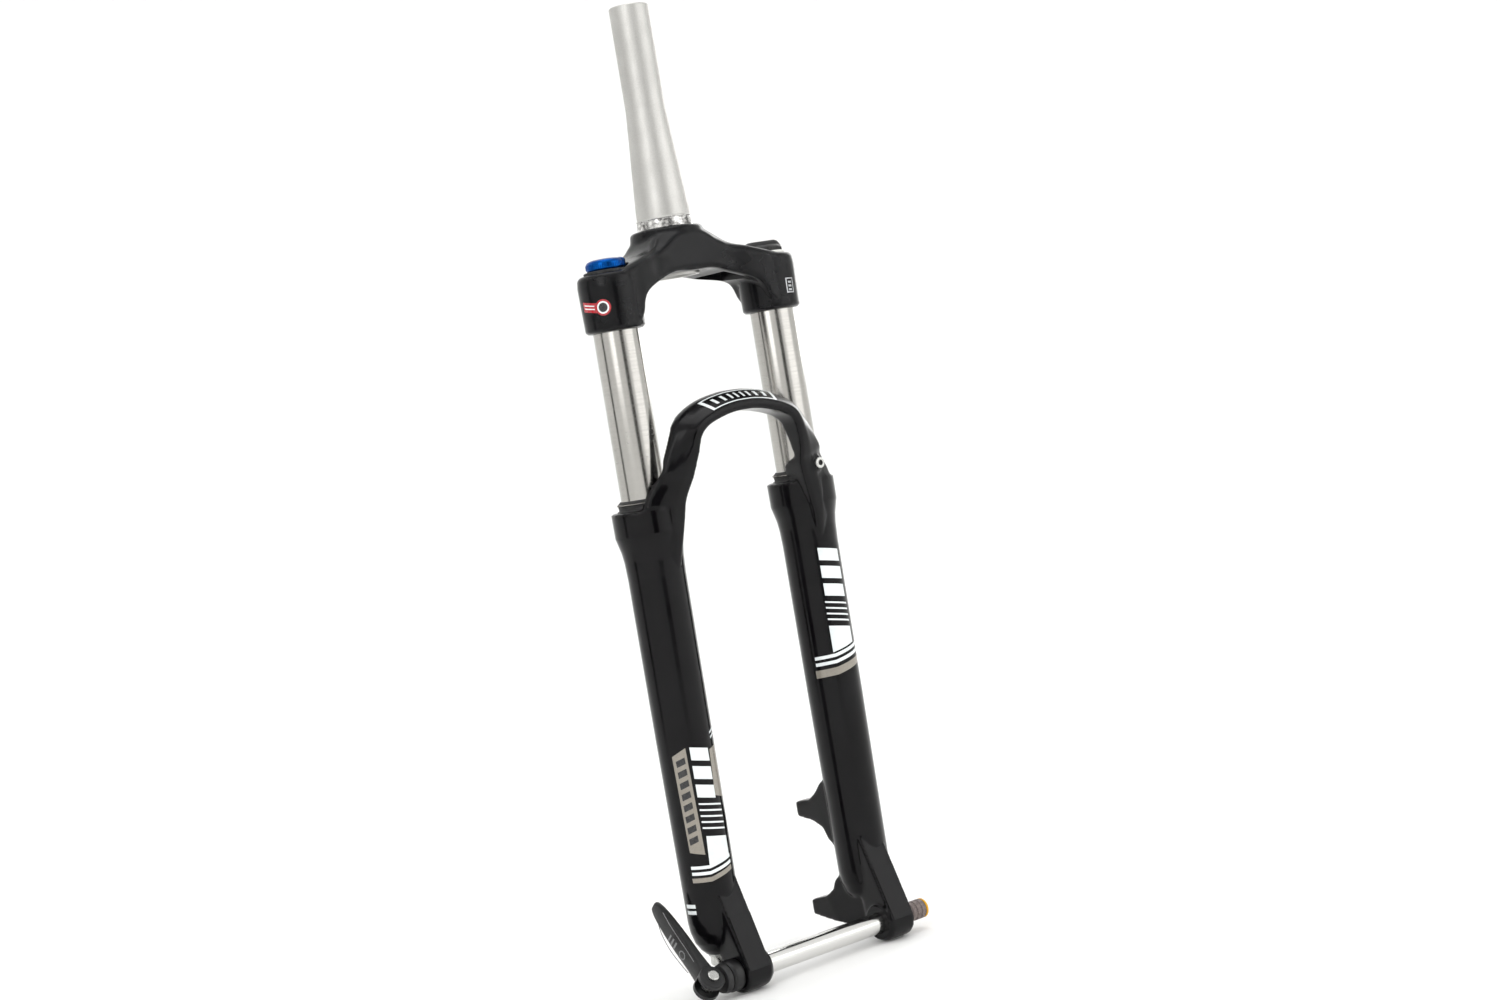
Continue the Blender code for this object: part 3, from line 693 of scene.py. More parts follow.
class Tooth(Enum):
    """What stands at each place of a row round a ring."""

    BAR = "round bar along the axis"
    LOOP = "turn of fine wire"


@dataclass
class ToothedRing:
    """A row of like pieces round a circle, grown with Geometry Nodes.

    Attributes:
        tooth: What is repeated.
        count: How many there are.
        radius: Radius of the circle in millimetres.
        thick: Radius of a bar, or of the wire.
        length: Length of a bar, or radius of a loop.
    """

    tooth: Tooth
    count: int
    radius: float
    thick: float
    length: float

    def _tree(self, finish: Finish) -> bpy.types.NodeTree:
        """Build the tree that grows the row.

        Args:
            finish: The finish of every piece in the row.

        Returns:
            The Geometry Nodes tree.
        """
        tree = bpy.data.node_groups.new("toothed_ring", "GeometryNodeTree")
        for name, kind in (("Count", "NodeSocketInt"), ("Radius", "NodeSocketFloat"),
                           ("Thickness", "NodeSocketFloat"), ("Length", "NodeSocketFloat")):
            tree.interface.new_socket(name, in_out="INPUT", socket_type=kind)
        tree.interface.new_socket("Geometry", in_out="OUTPUT", socket_type="NodeSocketGeometry")
        sizes = tree.nodes.new("NodeGroupInput").outputs
        circle = add(tree, "GeometryNodeCurvePrimitiveCircle", {"Resolution": 128, "Radius": sizes["Radius"]})
        row = add(tree, "GeometryNodeCurveToPoints", {
            "Curve": circle.outputs["Curve"], "Count": sizes["Count"]}, mode="COUNT")
        if self.tooth is Tooth.BAR:
            one = add(tree, "GeometryNodeMeshCylinder", {
                "Vertices": 8, "Radius": sizes["Thickness"], "Depth": sizes["Length"]}).outputs["Mesh"]
            turn: bpy.types.NodeSocket | tuple[float, float, float] = (0.0, 0.0, 0.0)
        else:
            loop = add(tree, "GeometryNodeCurvePrimitiveCircle",
                       {"Resolution": 10, "Radius": sizes["Length"]})
            wire = add(tree, "GeometryNodeCurvePrimitiveCircle",
                       {"Resolution": 6, "Radius": sizes["Thickness"]})
            one = add(tree, "GeometryNodeCurveToMesh", {
                "Curve": loop.outputs["Curve"], "Profile Curve": wire.outputs["Curve"]}).outputs["Mesh"]
            turn = row.outputs["Rotation"]
        spread = add(tree, "GeometryNodeInstanceOnPoints", {
            "Points": row.outputs["Points"], "Instance": one, "Rotation": turn})
        real = add(tree, "GeometryNodeRealizeInstances", {"Geometry": spread.outputs["Instances"]})
        coat = add(tree, "GeometryNodeSetMaterial", {
            "Geometry": real.outputs["Geometry"], "Material": finish.material()})
        add(tree, "NodeGroupOutput", {"Geometry": coat.outputs["Geometry"]})
        return tree

    def build(self, name: str, finish: Finish, centre: Point, axis: Point = UP) -> bpy.types.Object:
        """Grow the row and set it in its place.

        Args:
            name: The object's name.
            finish: The finish of every piece in the row.
            centre: The ring's centre in millimetres.
            axis: The ring's axis.

        Returns:
            The row as a plain mesh.
        """
        tree = self._tree(finish)
        seed = bpy.data.objects.new(name, bpy.data.meshes.new(name))
        bpy.context.scene.collection.objects.link(seed)
        grow = seed.modifiers.new("grow", "NODES")
        grow.node_group = tree
        values = {"Count": self.count, "Radius": self.radius * MM, "Thickness": self.thick * MM,
                  "Length": self.length * MM}
        for item in tree.interface.items_tree:
            if item.item_type == "SOCKET" and item.in_out == "INPUT":
                grow[item.identifier] = values[item.name]
        frozen(seed)
        turn = Vector(UP).rotation_difference(Vector(axis)).to_matrix().to_4x4()
        seed.data.transform(Matrix.Translation(Vector(centre) * MM) @ turn)
        return seed


# ---- Printed films ------------------------------------------------------------------------------

@dataclass
class Film:
    """Printed shapes that lie on a round body, drawn flat and wrapped onto it.

    Attributes:
        side: 1 for the rider's left leg, -1 for the right.
        radius: Rough radius of what it lies on, in millimetres.
        lift: How far it stands off the surface.
        step: How much further each later ink stands off.
        thick: Thickness of the ink.
        work: The flat shapes drawn so far in each ink.
    """

    side: int
    radius: float
    lift: float = 0.14
    step: float = 0.04
    thick: float = 0.1
    work: dict[Finish, list[list[Flat]]] = field(default_factory=dict)

    def quad(self, finish: Finish, *corners: Flat) -> None:
        """Draw a four-sided shape.

        Args:
            finish: The ink.
            *corners: Four (across, z) points in millimetres, in order round the shape.
        """
        self.work.setdefault(finish, []).append(list(corners))

    def bars(self, finish: Finish, first: Sequence[Flat], drop: float, count: int) -> None:
        """Draw a row of like four-sided shapes down the leg.

        Args:
            finish: The ink.
            first: The first shape's corners.
            drop: How far each lies below the last.
            count: How many there are.
        """
        for i in range(count):
            self.quad(finish, *[(across, z - drop * i) for across, z in first])

    def disc(self, finish: Finish, across: float, z: float, inner: float, outer: float) -> None:
        """Draw a ring, or a dot where its inner radius is nearly nothing.

        Args:
            finish: The ink.
            across: Its centre's distance round the body from the front.
            z: Its centre's height.
            inner: Inner radius.
            outer: Outer radius.
        """
        steps = 40
        for i in range(steps):
            a, b = (math.tau * k / steps for k in (i, i + 1))
            corners = [(inner, a), (outer, a), (outer, b), (inner, b)]
            self.quad(finish, *[(across + r * math.cos(t), z + r * math.sin(t)) for r, t in corners])

    def _spot(self, across: float, z: float) -> Vector:
        """Wrap a flat point onto the round body, in metres."""
        angle = across / self.radius
        x, y, _ = leg(self.side)
        return Vector((x + self.radius * math.sin(angle), y - self.radius * math.cos(angle), z)) * MM

    def build(self, name: str, body: bpy.types.Object) -> bpy.types.Object:
        """Wrap the shapes, lay them on the body and give them a thickness.

        Args:
            name: The film's name.
            body: What the film lies on.

        Returns:
            The film.
        """
        tree = self.surface(body)
        sheets = []
        for level, (finish, shapes) in enumerate(self.work.items()):
            work = bmesh.new()
            for a, b, c, d in ([Vector(corner) for corner in shape] for shape in shapes):
                wide = max(1, math.ceil(max((b - a).length, (c - d).length) / 0.9))
                tall = max(1, math.ceil(max((d - a).length, (c - b).length) / 4.0))
                grid = []
                for i in range(tall + 1):
                    left, right = a.lerp(d, i / tall), b.lerp(c, i / tall)
                    grid.append([self._spot(*left.lerp(right, j / wide)) for j in range(wide + 1)])
                points = [[work.verts.new(self.laid(tree, spot, level)) for spot in row] for row in grid]
                for i in range(tall):
                    for j in range(wide):
                        corners = (points[i][j], points[i][j + 1], points[i + 1][j + 1], points[i + 1][j])
                        work.faces.new(corners)
            bmesh.ops.remove_doubles(work, verts=work.verts, dist=1e-6)
            sheets.append(self.sheet(name, work, tree, finish))
        return merged(name, sheets)

    @staticmethod
    def surface(body: bpy.types.Object) -> BVHTree:
        """Give the body's surface, for shapes to be laid on."""
        work = bmesh.new()
        work.from_mesh(body.data)
        tree = BVHTree.FromBMesh(work)
        work.free()
        return tree

    def laid(self, tree: BVHTree, spot: Vector, level: int) -> Vector:
        """Move a point onto the body and lift it by its ink's place in the stack.

        Args:
            tree: The body's surface.
            spot: The wrapped point.
            level: Inks drawn later lie higher.

        Returns:
            The laid point.
        """
        place, normal, _, _ = tree.find_nearest(spot)
        return place + normal * (self.lift + self.step * level) * MM

    def sheet(self, name: str, work: bmesh.types.BMesh, tree: BVHTree, finish: Finish) -> bpy.types.Object:
        """Turn laid faces away from the body and give them the ink's thickness.

        Args:
            name: The sheet's name.
            work: The laid faces, which are freed.
            tree: The body's surface.
            finish: The ink.

        Returns:
            The sheet.
        """
        work.normal_update()
        for face in list(work.faces):
            _, normal, _, _ = tree.find_nearest(face.calc_center_median())
            if face.normal.dot(normal) < 0:
                face.normal_flip()
        mesh = bpy.data.meshes.new(name)
        work.to_mesh(mesh)
        work.free()
        sheet = linked(name, mesh)
        wall = sheet.modifiers.new("thickness", "SOLIDIFY")
        wall.thickness = self.thick * MM
        wall.offset = -1
        return dressed(frozen(sheet), finish)


# ---- Steerer and crown --------------------------------------------------------------------------

@dataclass
class Steerer:
    """Tapered tube that turns in the bicycle's head tube."""

    length: float = 160.0
    top_radius: float = 14.3
    seat_radius: float = 19.9
    seat_height: float = 8.0

    def build(self) -> None:
        """Make the tube and its scuffed race seat, and stand for the CAD tube."""
        taper = [(self.top_radius, 86), (15.05, 74.5), (16.2, 57), (17.0, 47), (17.6, 37), (18.25, 28),
                 (19.1, 15)]
        outside = [(self.top_radius - 0.7, self.length), (self.top_radius, self.length - 0.7), *taper,
                   (19.25, 9.6)]
        inside = [(19.1, -34.5), (16.4, -34.5), (16.2, 10), (12.6, 74), (11.8, 90), (11.8, self.length)]
        seat = [(19.25, self.seat_height + 0.2), (self.seat_radius, self.seat_height - 0.3),
                (self.seat_radius, 7.0), (19.6, 6.7), (19.6, 6.2), (self.seat_radius, 5.9),
                (self.seat_radius, 0.4), (19.1, 0.4)]
        tube = lathe("steerer", outside + seat + inside, (0, 0, 0), ring=True, ease=0.25)
        dressed(tube, BLASTED_ALUMINIUM)
        coated(tube, SCUFFED_SEAT, lambda spot: -0.001 < spot.z < 7.2 and spot.xy.length > 19.3)
        placed(tube, "uppers", ["steerer_tube"])


@dataclass
class Crown:
    """Forged crown that holds the steerer and both stanchions."""

    hub_radius: float = 26.0
    boss_radius: float = 21.5
    boss_top: float = -28.5
    bottom: float = -68.2

    @staticmethod
    def section(x: float, front: float, rear: float, bottom: float, top: float, shoulder: float,
                rise: float = 0.0) -> Ring:
        """Give an arm's section with sloping shoulders and rounded edges.

        Args:
            x: Where the section is.
            front: Its front y.
            rear: Its rear y.
            bottom: Its lowest z.
            top: Its highest z.
            shoulder: How far the top edges are cut back.
            rise: How much higher the rear bottom edge is than the front one.

        Returns:
            The section's ring.
        """
        drop = 0.85 * shoulder
        corners = [(front + shoulder, top), (rear - shoulder, top), (rear, top - drop), (rear, bottom + rise),
                   (front, bottom), (front, top - drop)]
        return [(x, y, z) for y, z in eased(corners, 3.0, True)]

    def arms(self) -> bpy.types.Object:
        """Loft both arms from boss to boss through the middle."""
        half = [
            (10, -27.7, 27.0, -32.6, -2.4, 5), (17, -27.9, 24.6, -33, -3.0, 8),
            (23, -28.3, 21.8, -34.2, -5.2, 10.5), (27.5, -28.9, 19.5, -35.8, -9.0, 9),
            (32, -29.6, 17.2, -37.4, -13.2, 7), (38, -31, 14, -39.6, -16.8, 5, 1),
            (46, -33.4, 9, -43.2, -19.2, 4, 2.6), (51, -34.8, 7, -46.8, -20.8, 4, 4),
            (54.5, -35.7, 5, -51.5, -21.9, 4, 4.6), (58, -36.4, 4, -60.5, -23.0, 4, 4),
            (66, -37, 2, -66.4, -25.3, 4), (80, -34.6, -2, -66.4, -28.8, 4),
        ]
        left = [self.section(*station) for station in half]
        right = [mirrored(-1, ring) for ring in reversed(left)]
        middle = self.section(0, -27.6, 27.6, -32.6, -2.2, 4)
        return skin("crown_arms", flowing(right + [middle] + left, 5))

    def bores(self) -> list[bpy.types.Object]:
        """Make the tools that cut the crown's bores and its hollow underside."""
        steerer = [(0, 20), (20.4, 20), (20.4, -0.8), (19.4, -1.2), (19.4, -60), (0, -60)]
        tools = [lathe("steerer_bore", steerer, (0, 0, 0))]
        hollow = ((28.5, -22, 13, -24), (38, -24.5, 9, -27), (46.5, -26.5, 4, -32))
        shelf = self.boss_top
        bore = [(0, 10), (16.6, 10), (16.6, shelf), (14.7, shelf), (14.7, -33.3), (16.3, -33.3),
                (16.3, -90), (0, -90)]
        for side in (1, -1):
            tools.append(lathe("stanchion_bore", bore, leg(side)))
            rings = [self.section(x, front, rear, -75, roof, 2) for x, front, rear, roof in hollow]
            tools.append(skin("pocket", [mirrored(side, ring) for ring in rings]))
        return tools

    def build(self) -> bpy.types.Object:
        """Melt the forging, press its dimples, cut its bores and stand for the CAD crown.

        Returns:
            The crown.
        """
        hub = [(0, 0), (self.hub_radius - 1.0, 0), (self.hub_radius, -1), (26.4, -4), (27.2, -12),
               (27.4, -30), (26, -33), (0, -33)]
        boss = [(0, self.boss_top + 0.5), (18.8, self.boss_top + 0.5), (20.9, -30.2), (self.boss_radius, -36),
                (20.8, -66.8), (19.9, self.bottom), (0, self.bottom)]
        shells = [lathe("hub", hub, (0, 0, 0), ease=0.5), self.arms()]
        shells += [lathe("boss", boss, leg(side), ease=0.8) for side in (1, -1)]
        crown = cast("crown_forging", shells, 1.1, 14)
        for side in (1, -1):
            trued(crown, leg(side)[:2], [(20.9, -31), (self.boss_radius, -36), (20.8, -66.6)], 0.5)
        for side in (1, -1):
            self.press(crown, Vector((side * 31, -33, -29)), 13.0, 0.9)
        carved(crown, self.bores())
        dressed(crown, CROWN_ENAMEL)
        return placed(crown, "uppers", ["crown"])

    @staticmethod
    def press(body: bpy.types.Object, centre: Vector, reach: float, depth: float) -> None:
        """Press a soft dimple into the front of a body.

        Args:
            body: The body to change.
            centre: The dimple's centre in millimetres.
            reach: The dimple's radius.
            depth: How deep it is.
        """
        for point in body.data.vertices:
            away = (point.co / MM - centre).length / reach
            if away < 1:
                point.co.y += depth * MM * (1 - away * away) ** 2
        body.data.update()


# ---- Stanchions, caps and adjusters -----------------------------------------------------------

@dataclass
class UpperTubes:
    """Polished stanchions and the caps that close them."""

    radius: float = 16.0
    bore: float = 14.2
    top: float = -33.6
    foot: float = -365.0

    def build(self) -> None:
        """Make both stanchions and both top caps."""
        seat = -28.2
        for side, finish, hole, slot in ((1, WHITE_ACETAL, 4.3, "white_acetal"),
                                         (-1, MOULDED_NYLON, 3.3, "black_plastic")):
            name = side_name(side)
            wall = [(self.radius, self.top), (self.radius, self.foot), (self.bore, self.foot),
                    (self.bore, self.top)]
            tube = lathe(f"stanchion_tube_{name}", wall, leg(side), ring=True, ease=0.5, segments=144)
            placed(dressed(tube, POLISHED_STEEL), "uppers", [f"stanchion_{name}"])
            flange = [(15.0, seat + 2.3), (15.5, seat + 1.8), (15.5, seat), (14.4, seat), (14.4, -33.3),
                      (13.9, -33.3), (13.9, -50), (hole, -50), (hole, seat + 2.3)]
            cap = dressed(lathe(f"cap_{name}", flange, leg(side), ring=True, ease=0.2), finish)
            teeth = ToothedRing(Tooth.BAR, 44, 15.3, 0.45, 1.6)
            grip = teeth.build("cap_grip", finish, (*leg(side)[:2], seat + 1.0))
            placed(merged(f"top_cap_{name}_ribbed", [cap, grip]), "uppers", [f"top_cap_{name}"])


@dataclass
class Lockout:
    """Blue lever on top of the damper leg."""

    radius: float = 13.6
    teeth: int = 54

    def build(self) -> None:
        """Make the lever with its thumb tab and finely ribbed edge."""
        centre = leg(-1)
        disc = [(0, -17.7), (2.6, -17.7), (3.0, -18.3), (5.6, -18.3), (6.0, -17.7), (9.5, -18.0),
                (12.2, -19.0), (self.radius - 0.2, -20.8), (self.radius - 0.2, -24.2), (12.8, -25.6),
                (0, -25.6)]
        lever = lathe("lockout_disc", disc, centre, ease=0.35)
        rings = []
        stations = ((2, 6.4, -18.4), (7, 6.2, -17.9), (11, 5.6, -17.8), (14.6, 4.4, -18.7), (15.9, 3, -20.2))
        for along, wide, top in stations:
            corners = eased([(-wide, -24.3), (wide, -24.3), (wide, top), (-wide, top)], 1.1, True)
            rings.append([(-LEG_X + along, LEG_Y + across, z) for across, z in corners])
        carved(lever, [skin("lockout_tab", flowing(rings, 4))], add_on=True)
        dressed(lever, BLUE_ANODISED)
        ribs = ToothedRing(Tooth.BAR, self.teeth, self.radius - 0.25, 0.24, 3.2)
        edge = ribs.build("lockout_ribs", BLUE_ANODISED, (centre[0], centre[1], -22.6))
        placed(merged("lockout_lever_ribbed", [lever, edge]), "lockout", ["lockout_lever"])


@dataclass
class Preload:
    """Winged knob on top of the spring leg."""

    turn: float = math.radians(-20)

    def wing(self) -> bpy.types.Object:
        """Loft the grip across the knob."""
        rings = []
        stations = ((-22.6, 14.2, 5.8), (-20.4, 13.2, 5.3), (-18.6, 11.8, 4.8), (-17.65, 10.0, 3.8))
        for height, length, width in stations:
            corners = eased([(length, width), (-length, width), (-length, -width), (length, -width)],
                            width * 0.7, True)
            spin = Matrix.Rotation(self.turn, 3, "Z")
            rings.append([spin @ Vector((x, y, height)) + Vector(leg(1)) for x, y in corners])
        return skin("preload_wing", rings)

    def build(self) -> None:
        """Make the knob with its wing and ribbed skirt."""
        base = [(0, -21.2), (12.2, -21.2), (13.9, -22.8), (14.3, -25.9), (0, -25.9)]
        knob = lathe("preload_base", base, leg(1), ease=0.5)
        carved(knob, [self.wing()], add_on=True)
        dressed(knob, MOULDED_NYLON)
        teeth = ToothedRing(Tooth.BAR, 40, 14.15, 0.4, 2.4)
        skirt = teeth.build("skirt", MOULDED_NYLON, (*leg(1)[:2], -24.6))
        placed(merged("preload_knob_ribbed", [knob, skirt]), "preload_adjuster",
               ["preload_knob"])


@dataclass
class CoilSpring:
    """Main spring, wound close at both ends."""

    top: float = -84.3
    foot: float = -322.7
    radius: float = 10.8
    wire: float = 2.4
    turns: int = 12
    travel: float = 100.0

    def build(self) -> None:
        """Wind the spring."""
        closed = 2.2 * self.wire
        low, high = self.foot + self.wire, self.top - self.wire
        pitch = (high - low - 2 * closed) / (self.turns - 2)
        per_turn = 28
        rings = []
        for i in range(self.turns * per_turn + 1):
            turn = i / per_turn
            open_turns = min(max(turn - 1, 0), self.turns - 2)
            height = low + closed * min(turn, 1) + pitch * open_turns + closed * max(turn - self.turns + 1, 0)
            out = Vector((math.cos(math.tau * turn), math.sin(math.tau * turn), 0))
            middle = Vector(leg(1)) + out * self.radius + Vector((0, 0, height))
            rings.append(round_ring(middle, self.wire, out, Vector(UP), 14))
        spring = dressed(skin("coil_spring_wound", rings), SPRING_WIRE)
        placed(spring, "uppers", ["coil_spring"])
        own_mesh(spring)


# ---- Lower legs ---------------------------------------------------------------------------------

@dataclass
class LowerLegs:
    """One-piece casting of both legs, the arch, the dropouts and the brake mount."""

    rim: float = -192.5
    head: float = 24.4
    foot: float = -505.5
    plate: Flat = (57.5, 78.5)
    post: Flat = (55.0, 69.0)
    post_face: float = 30.5
    post_middle: float = -472.3
    post_spacing: float = 74.2
    boss: float = 14.0
    lean: float = math.atan2(15.1, 39.8)
    hub_half: float = 55.0

    def leg_profile(self) -> list[Flat]:
        """Give the outside of one leg as (radius, z) from the rim down."""
        return [
            (self.head - 0.6, self.rim), (self.head, self.rim - 0.6), (self.head - 0.1, -210), (23.3, -214),
            (21.7, -220.5), (20.8, -227.5), (20.3, -240), (20.0, -350), (19.0, -482), (18.3, -489),
            (16.2, -496.5), (12.6, -502.3), (8.5, self.foot - 1.0),
        ]

    @staticmethod
    def arch_section(inner: Flat, outer: Flat, front: float, rear: float, slope: float) -> Ring:
        """Give one section of the arch.

        Args:
            inner: (x, z) of its inside edge.
            outer: (x, z) of its outside edge.
            front: Its foremost y.
            rear: Its rearmost y.
            slope: How far the face leans back towards the outside edge.

        Returns:
            The section's ring: a front rib, the leaning face, and the rear.
        """
        depth = rear - front
        shape = [(0.0, 0.06), (0.06, 0.0), (0.36, 0.0), (0.42, 0.03), (0.70, 0.30 * slope),
                 (0.95, 0.62 * slope), (1.0, 0.80 * slope), (0.97, 1.0), (0.13, 1.0), (0.0, 0.94)]
        (x0, z0), (x1, z1) = inner, outer
        return [(x0 + (x1 - x0) * t, front + depth * back, z0 + (z1 - z0) * t) for t, back in shape]

    def arch_rings(self) -> list[Ring]:
        """Give the arch's sections from foot to foot."""
        half = [
            ((9, -136.3), (12, -120.9), -58, -36, 1.0), ((20, -138.2), (28.6, -123.9), -58, -36, 1.0),
            ((34, -142.5), (44, -130), -58, -36.5, 1.0), ((42, -149), (54.5, -137.5), -57.5, -38.5, 1.0),
            ((45.5, -160), (62, -150), -55.6, -39.8, 0.9), ((47.5, -168), (68, -161), -53, -39.8, 0.8),
            ((48.8, -175), (72, -170), -50, -39.8, 0.7), ((49.8, -180), (76, -176), -47.3, -27, 0.55),
            ((54, -191), (84, -189), -43.8, -20, 0.45), ((57, -204), (86, -203), -42.6, -18, 0.40),
            ((60.5, -218), (81, -218), -41.0, -18, 0.30), ((64, -238), (76, -238), -36.6, -18, 0.20),
        ]
        left = [self.arch_section(*station) for station in half]
        right = [mirrored(-1, ring) for ring in reversed(left)]
        middle = self.arch_section((0, -136), (0, -120.3), -58, -36, 1.0)
        return flowing(right + [middle] + left, 6)

    def dropout(self) -> list[Flat]:
        """Give a dropout's side outline round the axle."""
        points = [(-18, -414), (-26.5, -440)]
        steps = 22
        for i in range(steps + 1):
            angle = -self.lean + (math.pi + self.lean) * i / steps
            points.append((AXLE_Y - self.boss * math.cos(angle), AXLE_Z - self.boss * math.sin(angle)))
        return points + [(-25.6, -503), (-21, -494), (-15, -470)]

    def machined_pad(self) -> list[Flat]:
        """Give the side outline of the flat face in front of a dropout, which starts at a small step."""
        out = Vector((-math.cos(self.lean), math.sin(self.lean)))
        along = Vector((-math.sin(self.lean), -math.cos(self.lean)))
        low = Vector((AXLE_Y, AXLE_Z)) + out * self.boss
        proud = 0.7
        top = low - along * 36
        ends = (low + out * (proud - 0.4) + along * 3, top + out * proud, top - out * 4, low - out * 4)
        return [(spot.x, spot.y) for spot in ends]

    def posts(self) -> list[list[Flat]]:
        """Give the side outlines of the two brake posts."""
        face = self.post_face
        upper_z, lower_z = (self.post_middle + sign * self.post_spacing / 2 for sign in (1, -1))
        upper = [
            (-10, upper_z + 24), (0, upper_z + 20), (6, upper_z + 13.5), (15, upper_z + 7.4),
            (face - 1, upper_z + 5.8), (face, upper_z + 5), (face, upper_z - 5), (face - 1, upper_z - 5.8),
            (14, upper_z - 8.6), (4, upper_z - 13.5), (0, upper_z - 22), (-10, upper_z - 30),
        ]
        lower = [
            (-10, lower_z + 28), (0, lower_z + 22), (4, lower_z + 14.5), (13, lower_z + 9),
            (face - 1, lower_z + 5.8), (face, lower_z + 5), (face, lower_z - 5), (face - 1, lower_z - 5.8),
            (14, lower_z - 8.6), (2, lower_z - 10.4), (-18, lower_z - 11.6), (-34, lower_z - 19),
            (-34, lower_z + 16),
        ]
        return [upper, lower]

    def tools(self) -> list[bpy.types.Object]:
        """Make the tools for every bore and machined face."""
        bore = [(0, -150), (23.2, -150), (23.2, -173), (20, -177), (20, -212), (17.5, -212), (17.5, -345),
                (16.9, -346), (16.9, -484), (9.2, -497), (4.7, -497), (4.7, -540), (0, -540)]
        axle = (0, AXLE_Y, AXLE_Z)
        made = [bar("axle_hole", 7.8, 100, -100, axle, ACROSS)]
        for side in (1, -1):
            low, high = span(side, self.hub_half - 8, self.hub_half)
            made.append(lathe("leg_bore", bore, leg(side), segments=128))
            made.append(bar("foot_access", 11.2, self.foot, -545, leg(side)))
            made.append(bar("hub_face", 20, high, low, axle, ACROSS))
        face = self.post_face
        x = sum(self.post) / 2
        for sign in (1, -1):
            z = self.post_middle + sign * self.post_spacing / 2
            made.append(bar("post_hole", 2.6, face + 3, face - 15, (x, 0, z), (0, 1, 0), 40))
            block = [(face, z - 9), (face + 6, z - 9), (face + 6, z + 9), (face, z + 9)]
            made.append(slab("post_cut", block, 50, 74))
        made.append(bar("guide_hole", 2.6, 9, -8, HoseGuideScrew.place, (0, -1, 0), 32))
        return made

    def build(self) -> bpy.types.Object:
        """Melt the casting, true its legs, machine it and stand for the CAD casting.

        Returns:
            The casting.
        """
        axle = (0, AXLE_Y, AXLE_Z)
        shells = [skin("arch", self.arch_rings())]
        for side in (1, -1):
            outside = [(0, self.rim + 0.6), *self.leg_profile(), (0, self.foot - 1.0)]
            shells.append(lathe("leg", outside, leg(side), segments=128))
            shells.append(slab("dropout", self.dropout(), *span(side, *self.plate)))
            low, high = span(side, self.hub_half - 0.6, self.hub_half + 6)
            shells.append(bar("hub_seat", 12.3, high, low, axle, ACROSS))
        for outline in self.posts():
            post = slab("post", outline, *self.post, ease=1.5)
            for point in post.data.vertices:
                if point.co.x < 60 * MM and point.co.y < -8 * MM:
                    point.co.x += 0.2 * (-8 * MM - point.co.y)
            shells.append(post)
        guide = HoseGuideScrew.place
        shells.append(lathe("guide_boss", [(0, 2.0), (5.4, 0.0), (6.4, -9), (0, -9)], guide, (0, -1, 0)))
        casting = cast("lower_casting", shells, 1.3, 5)
        for side in (1, -1):
            trued(casting, leg(side)[:2], self.leg_profile()[1:-1], 0.55)
        near, far = self.plate[0] + 1.4, self.plate[1] - 1.4
        pads = [slab("pad", self.machined_pad(), *span(side, near, far)) for side in (1, -1)]
        carved(casting, pads, add_on=True)
        carved(casting, self.tools())
        dressed(casting, GLOSS_ENAMEL)
        return placed(casting, "lowers", ["lower_legs"])


@dataclass
class HoseGuideScrew:
    """Socket screw on the arch, which holds the brake hose's guide, with painted shade inside its socket."""

    place = (66.0, -46.4, -182.4)
    head: float = 4.0
    socket: float = 1.95

    def build(self) -> None:
        """Turn the screw with its socket, and paint the socket's inside dark as painted shade."""
        profile = [(0, 1.0), (1.7, 1.2), (1.9, 2.6), (3.5, 2.6), (self.head, 2.1), (self.head, 0.3),
                   (2.3, 0.3), (2.3, -7), (0, -7)]
        screw = dressed(lathe("guide_screw", profile, self.place, (0, -1, 0), 48, ease=0.2), PLATED_STEEL)
        middle = Vector(self.place)
        # Painted shade: the faces deep in the socket get the dark rubber finish, which stands in for the
        # shade in the hole
        coated(screw, NITRILE_AND_SOCKET_SHADE, lambda spot: spot.y < middle.y and (spot - middle).xz.length < self.socket)
        placed(screw, "lowers", ["hose_guide_screw"])


@dataclass
class Seals:
    """Wiper seals with their garter springs, and the bolts at the legs' feet."""

    garter_turns: int = 150

    def build(self) -> None:
        """Make the seals, garters and foot bolts of both legs."""
        lip = [(16.35, -185.4), (16.9, -185.2), (17.6, -186.2), (18.6, -186.8), (18.0, -187.1),
               (18.0, -188.4), (18.8, -188.9), (18.3, -190.4), (18.5, -191.6), (19.7, -192.0), (19.7, -202),
               (16.9, -202), (16.3, -190)]
        bolt = [(0, -497.2), (4.3, -497.2), (4.3, -507.3), (7.4, -507.3), (7.6, -513.0), (6.8, -514.0),
                (4.6, -514.0), (4.4, -510.5), (0, -510.2)]
        for side in (1, -1):
            name = side_name(side)
            x, y, _ = leg(side)
            seal = dressed(lathe(f"wiper_{name}", lip, leg(side), ring=True, ease=0.2, segments=128), NITRILE_AND_SOCKET_SHADE)
            placed(seal, "lowers", [f"dust_seal_{name}"])
            coil = ToothedRing(Tooth.LOOP, self.garter_turns, 18.9, 0.2, 0.42)
            spring = coil.build(f"garter_{name}", POLISHED_STEEL, (x, y, -187.75))
            placed(spring, "lowers", [f"garter_spring_{name}"])
            head = dressed(lathe(f"foot_nut_{name}", bolt, leg(side), ease=0.3, segments=64), PLATED_STEEL)
            placed(head, "lowers", [f"foot_bolt_{name}"])


# ---- Quick-release axle -------------------------------------------------------------------------

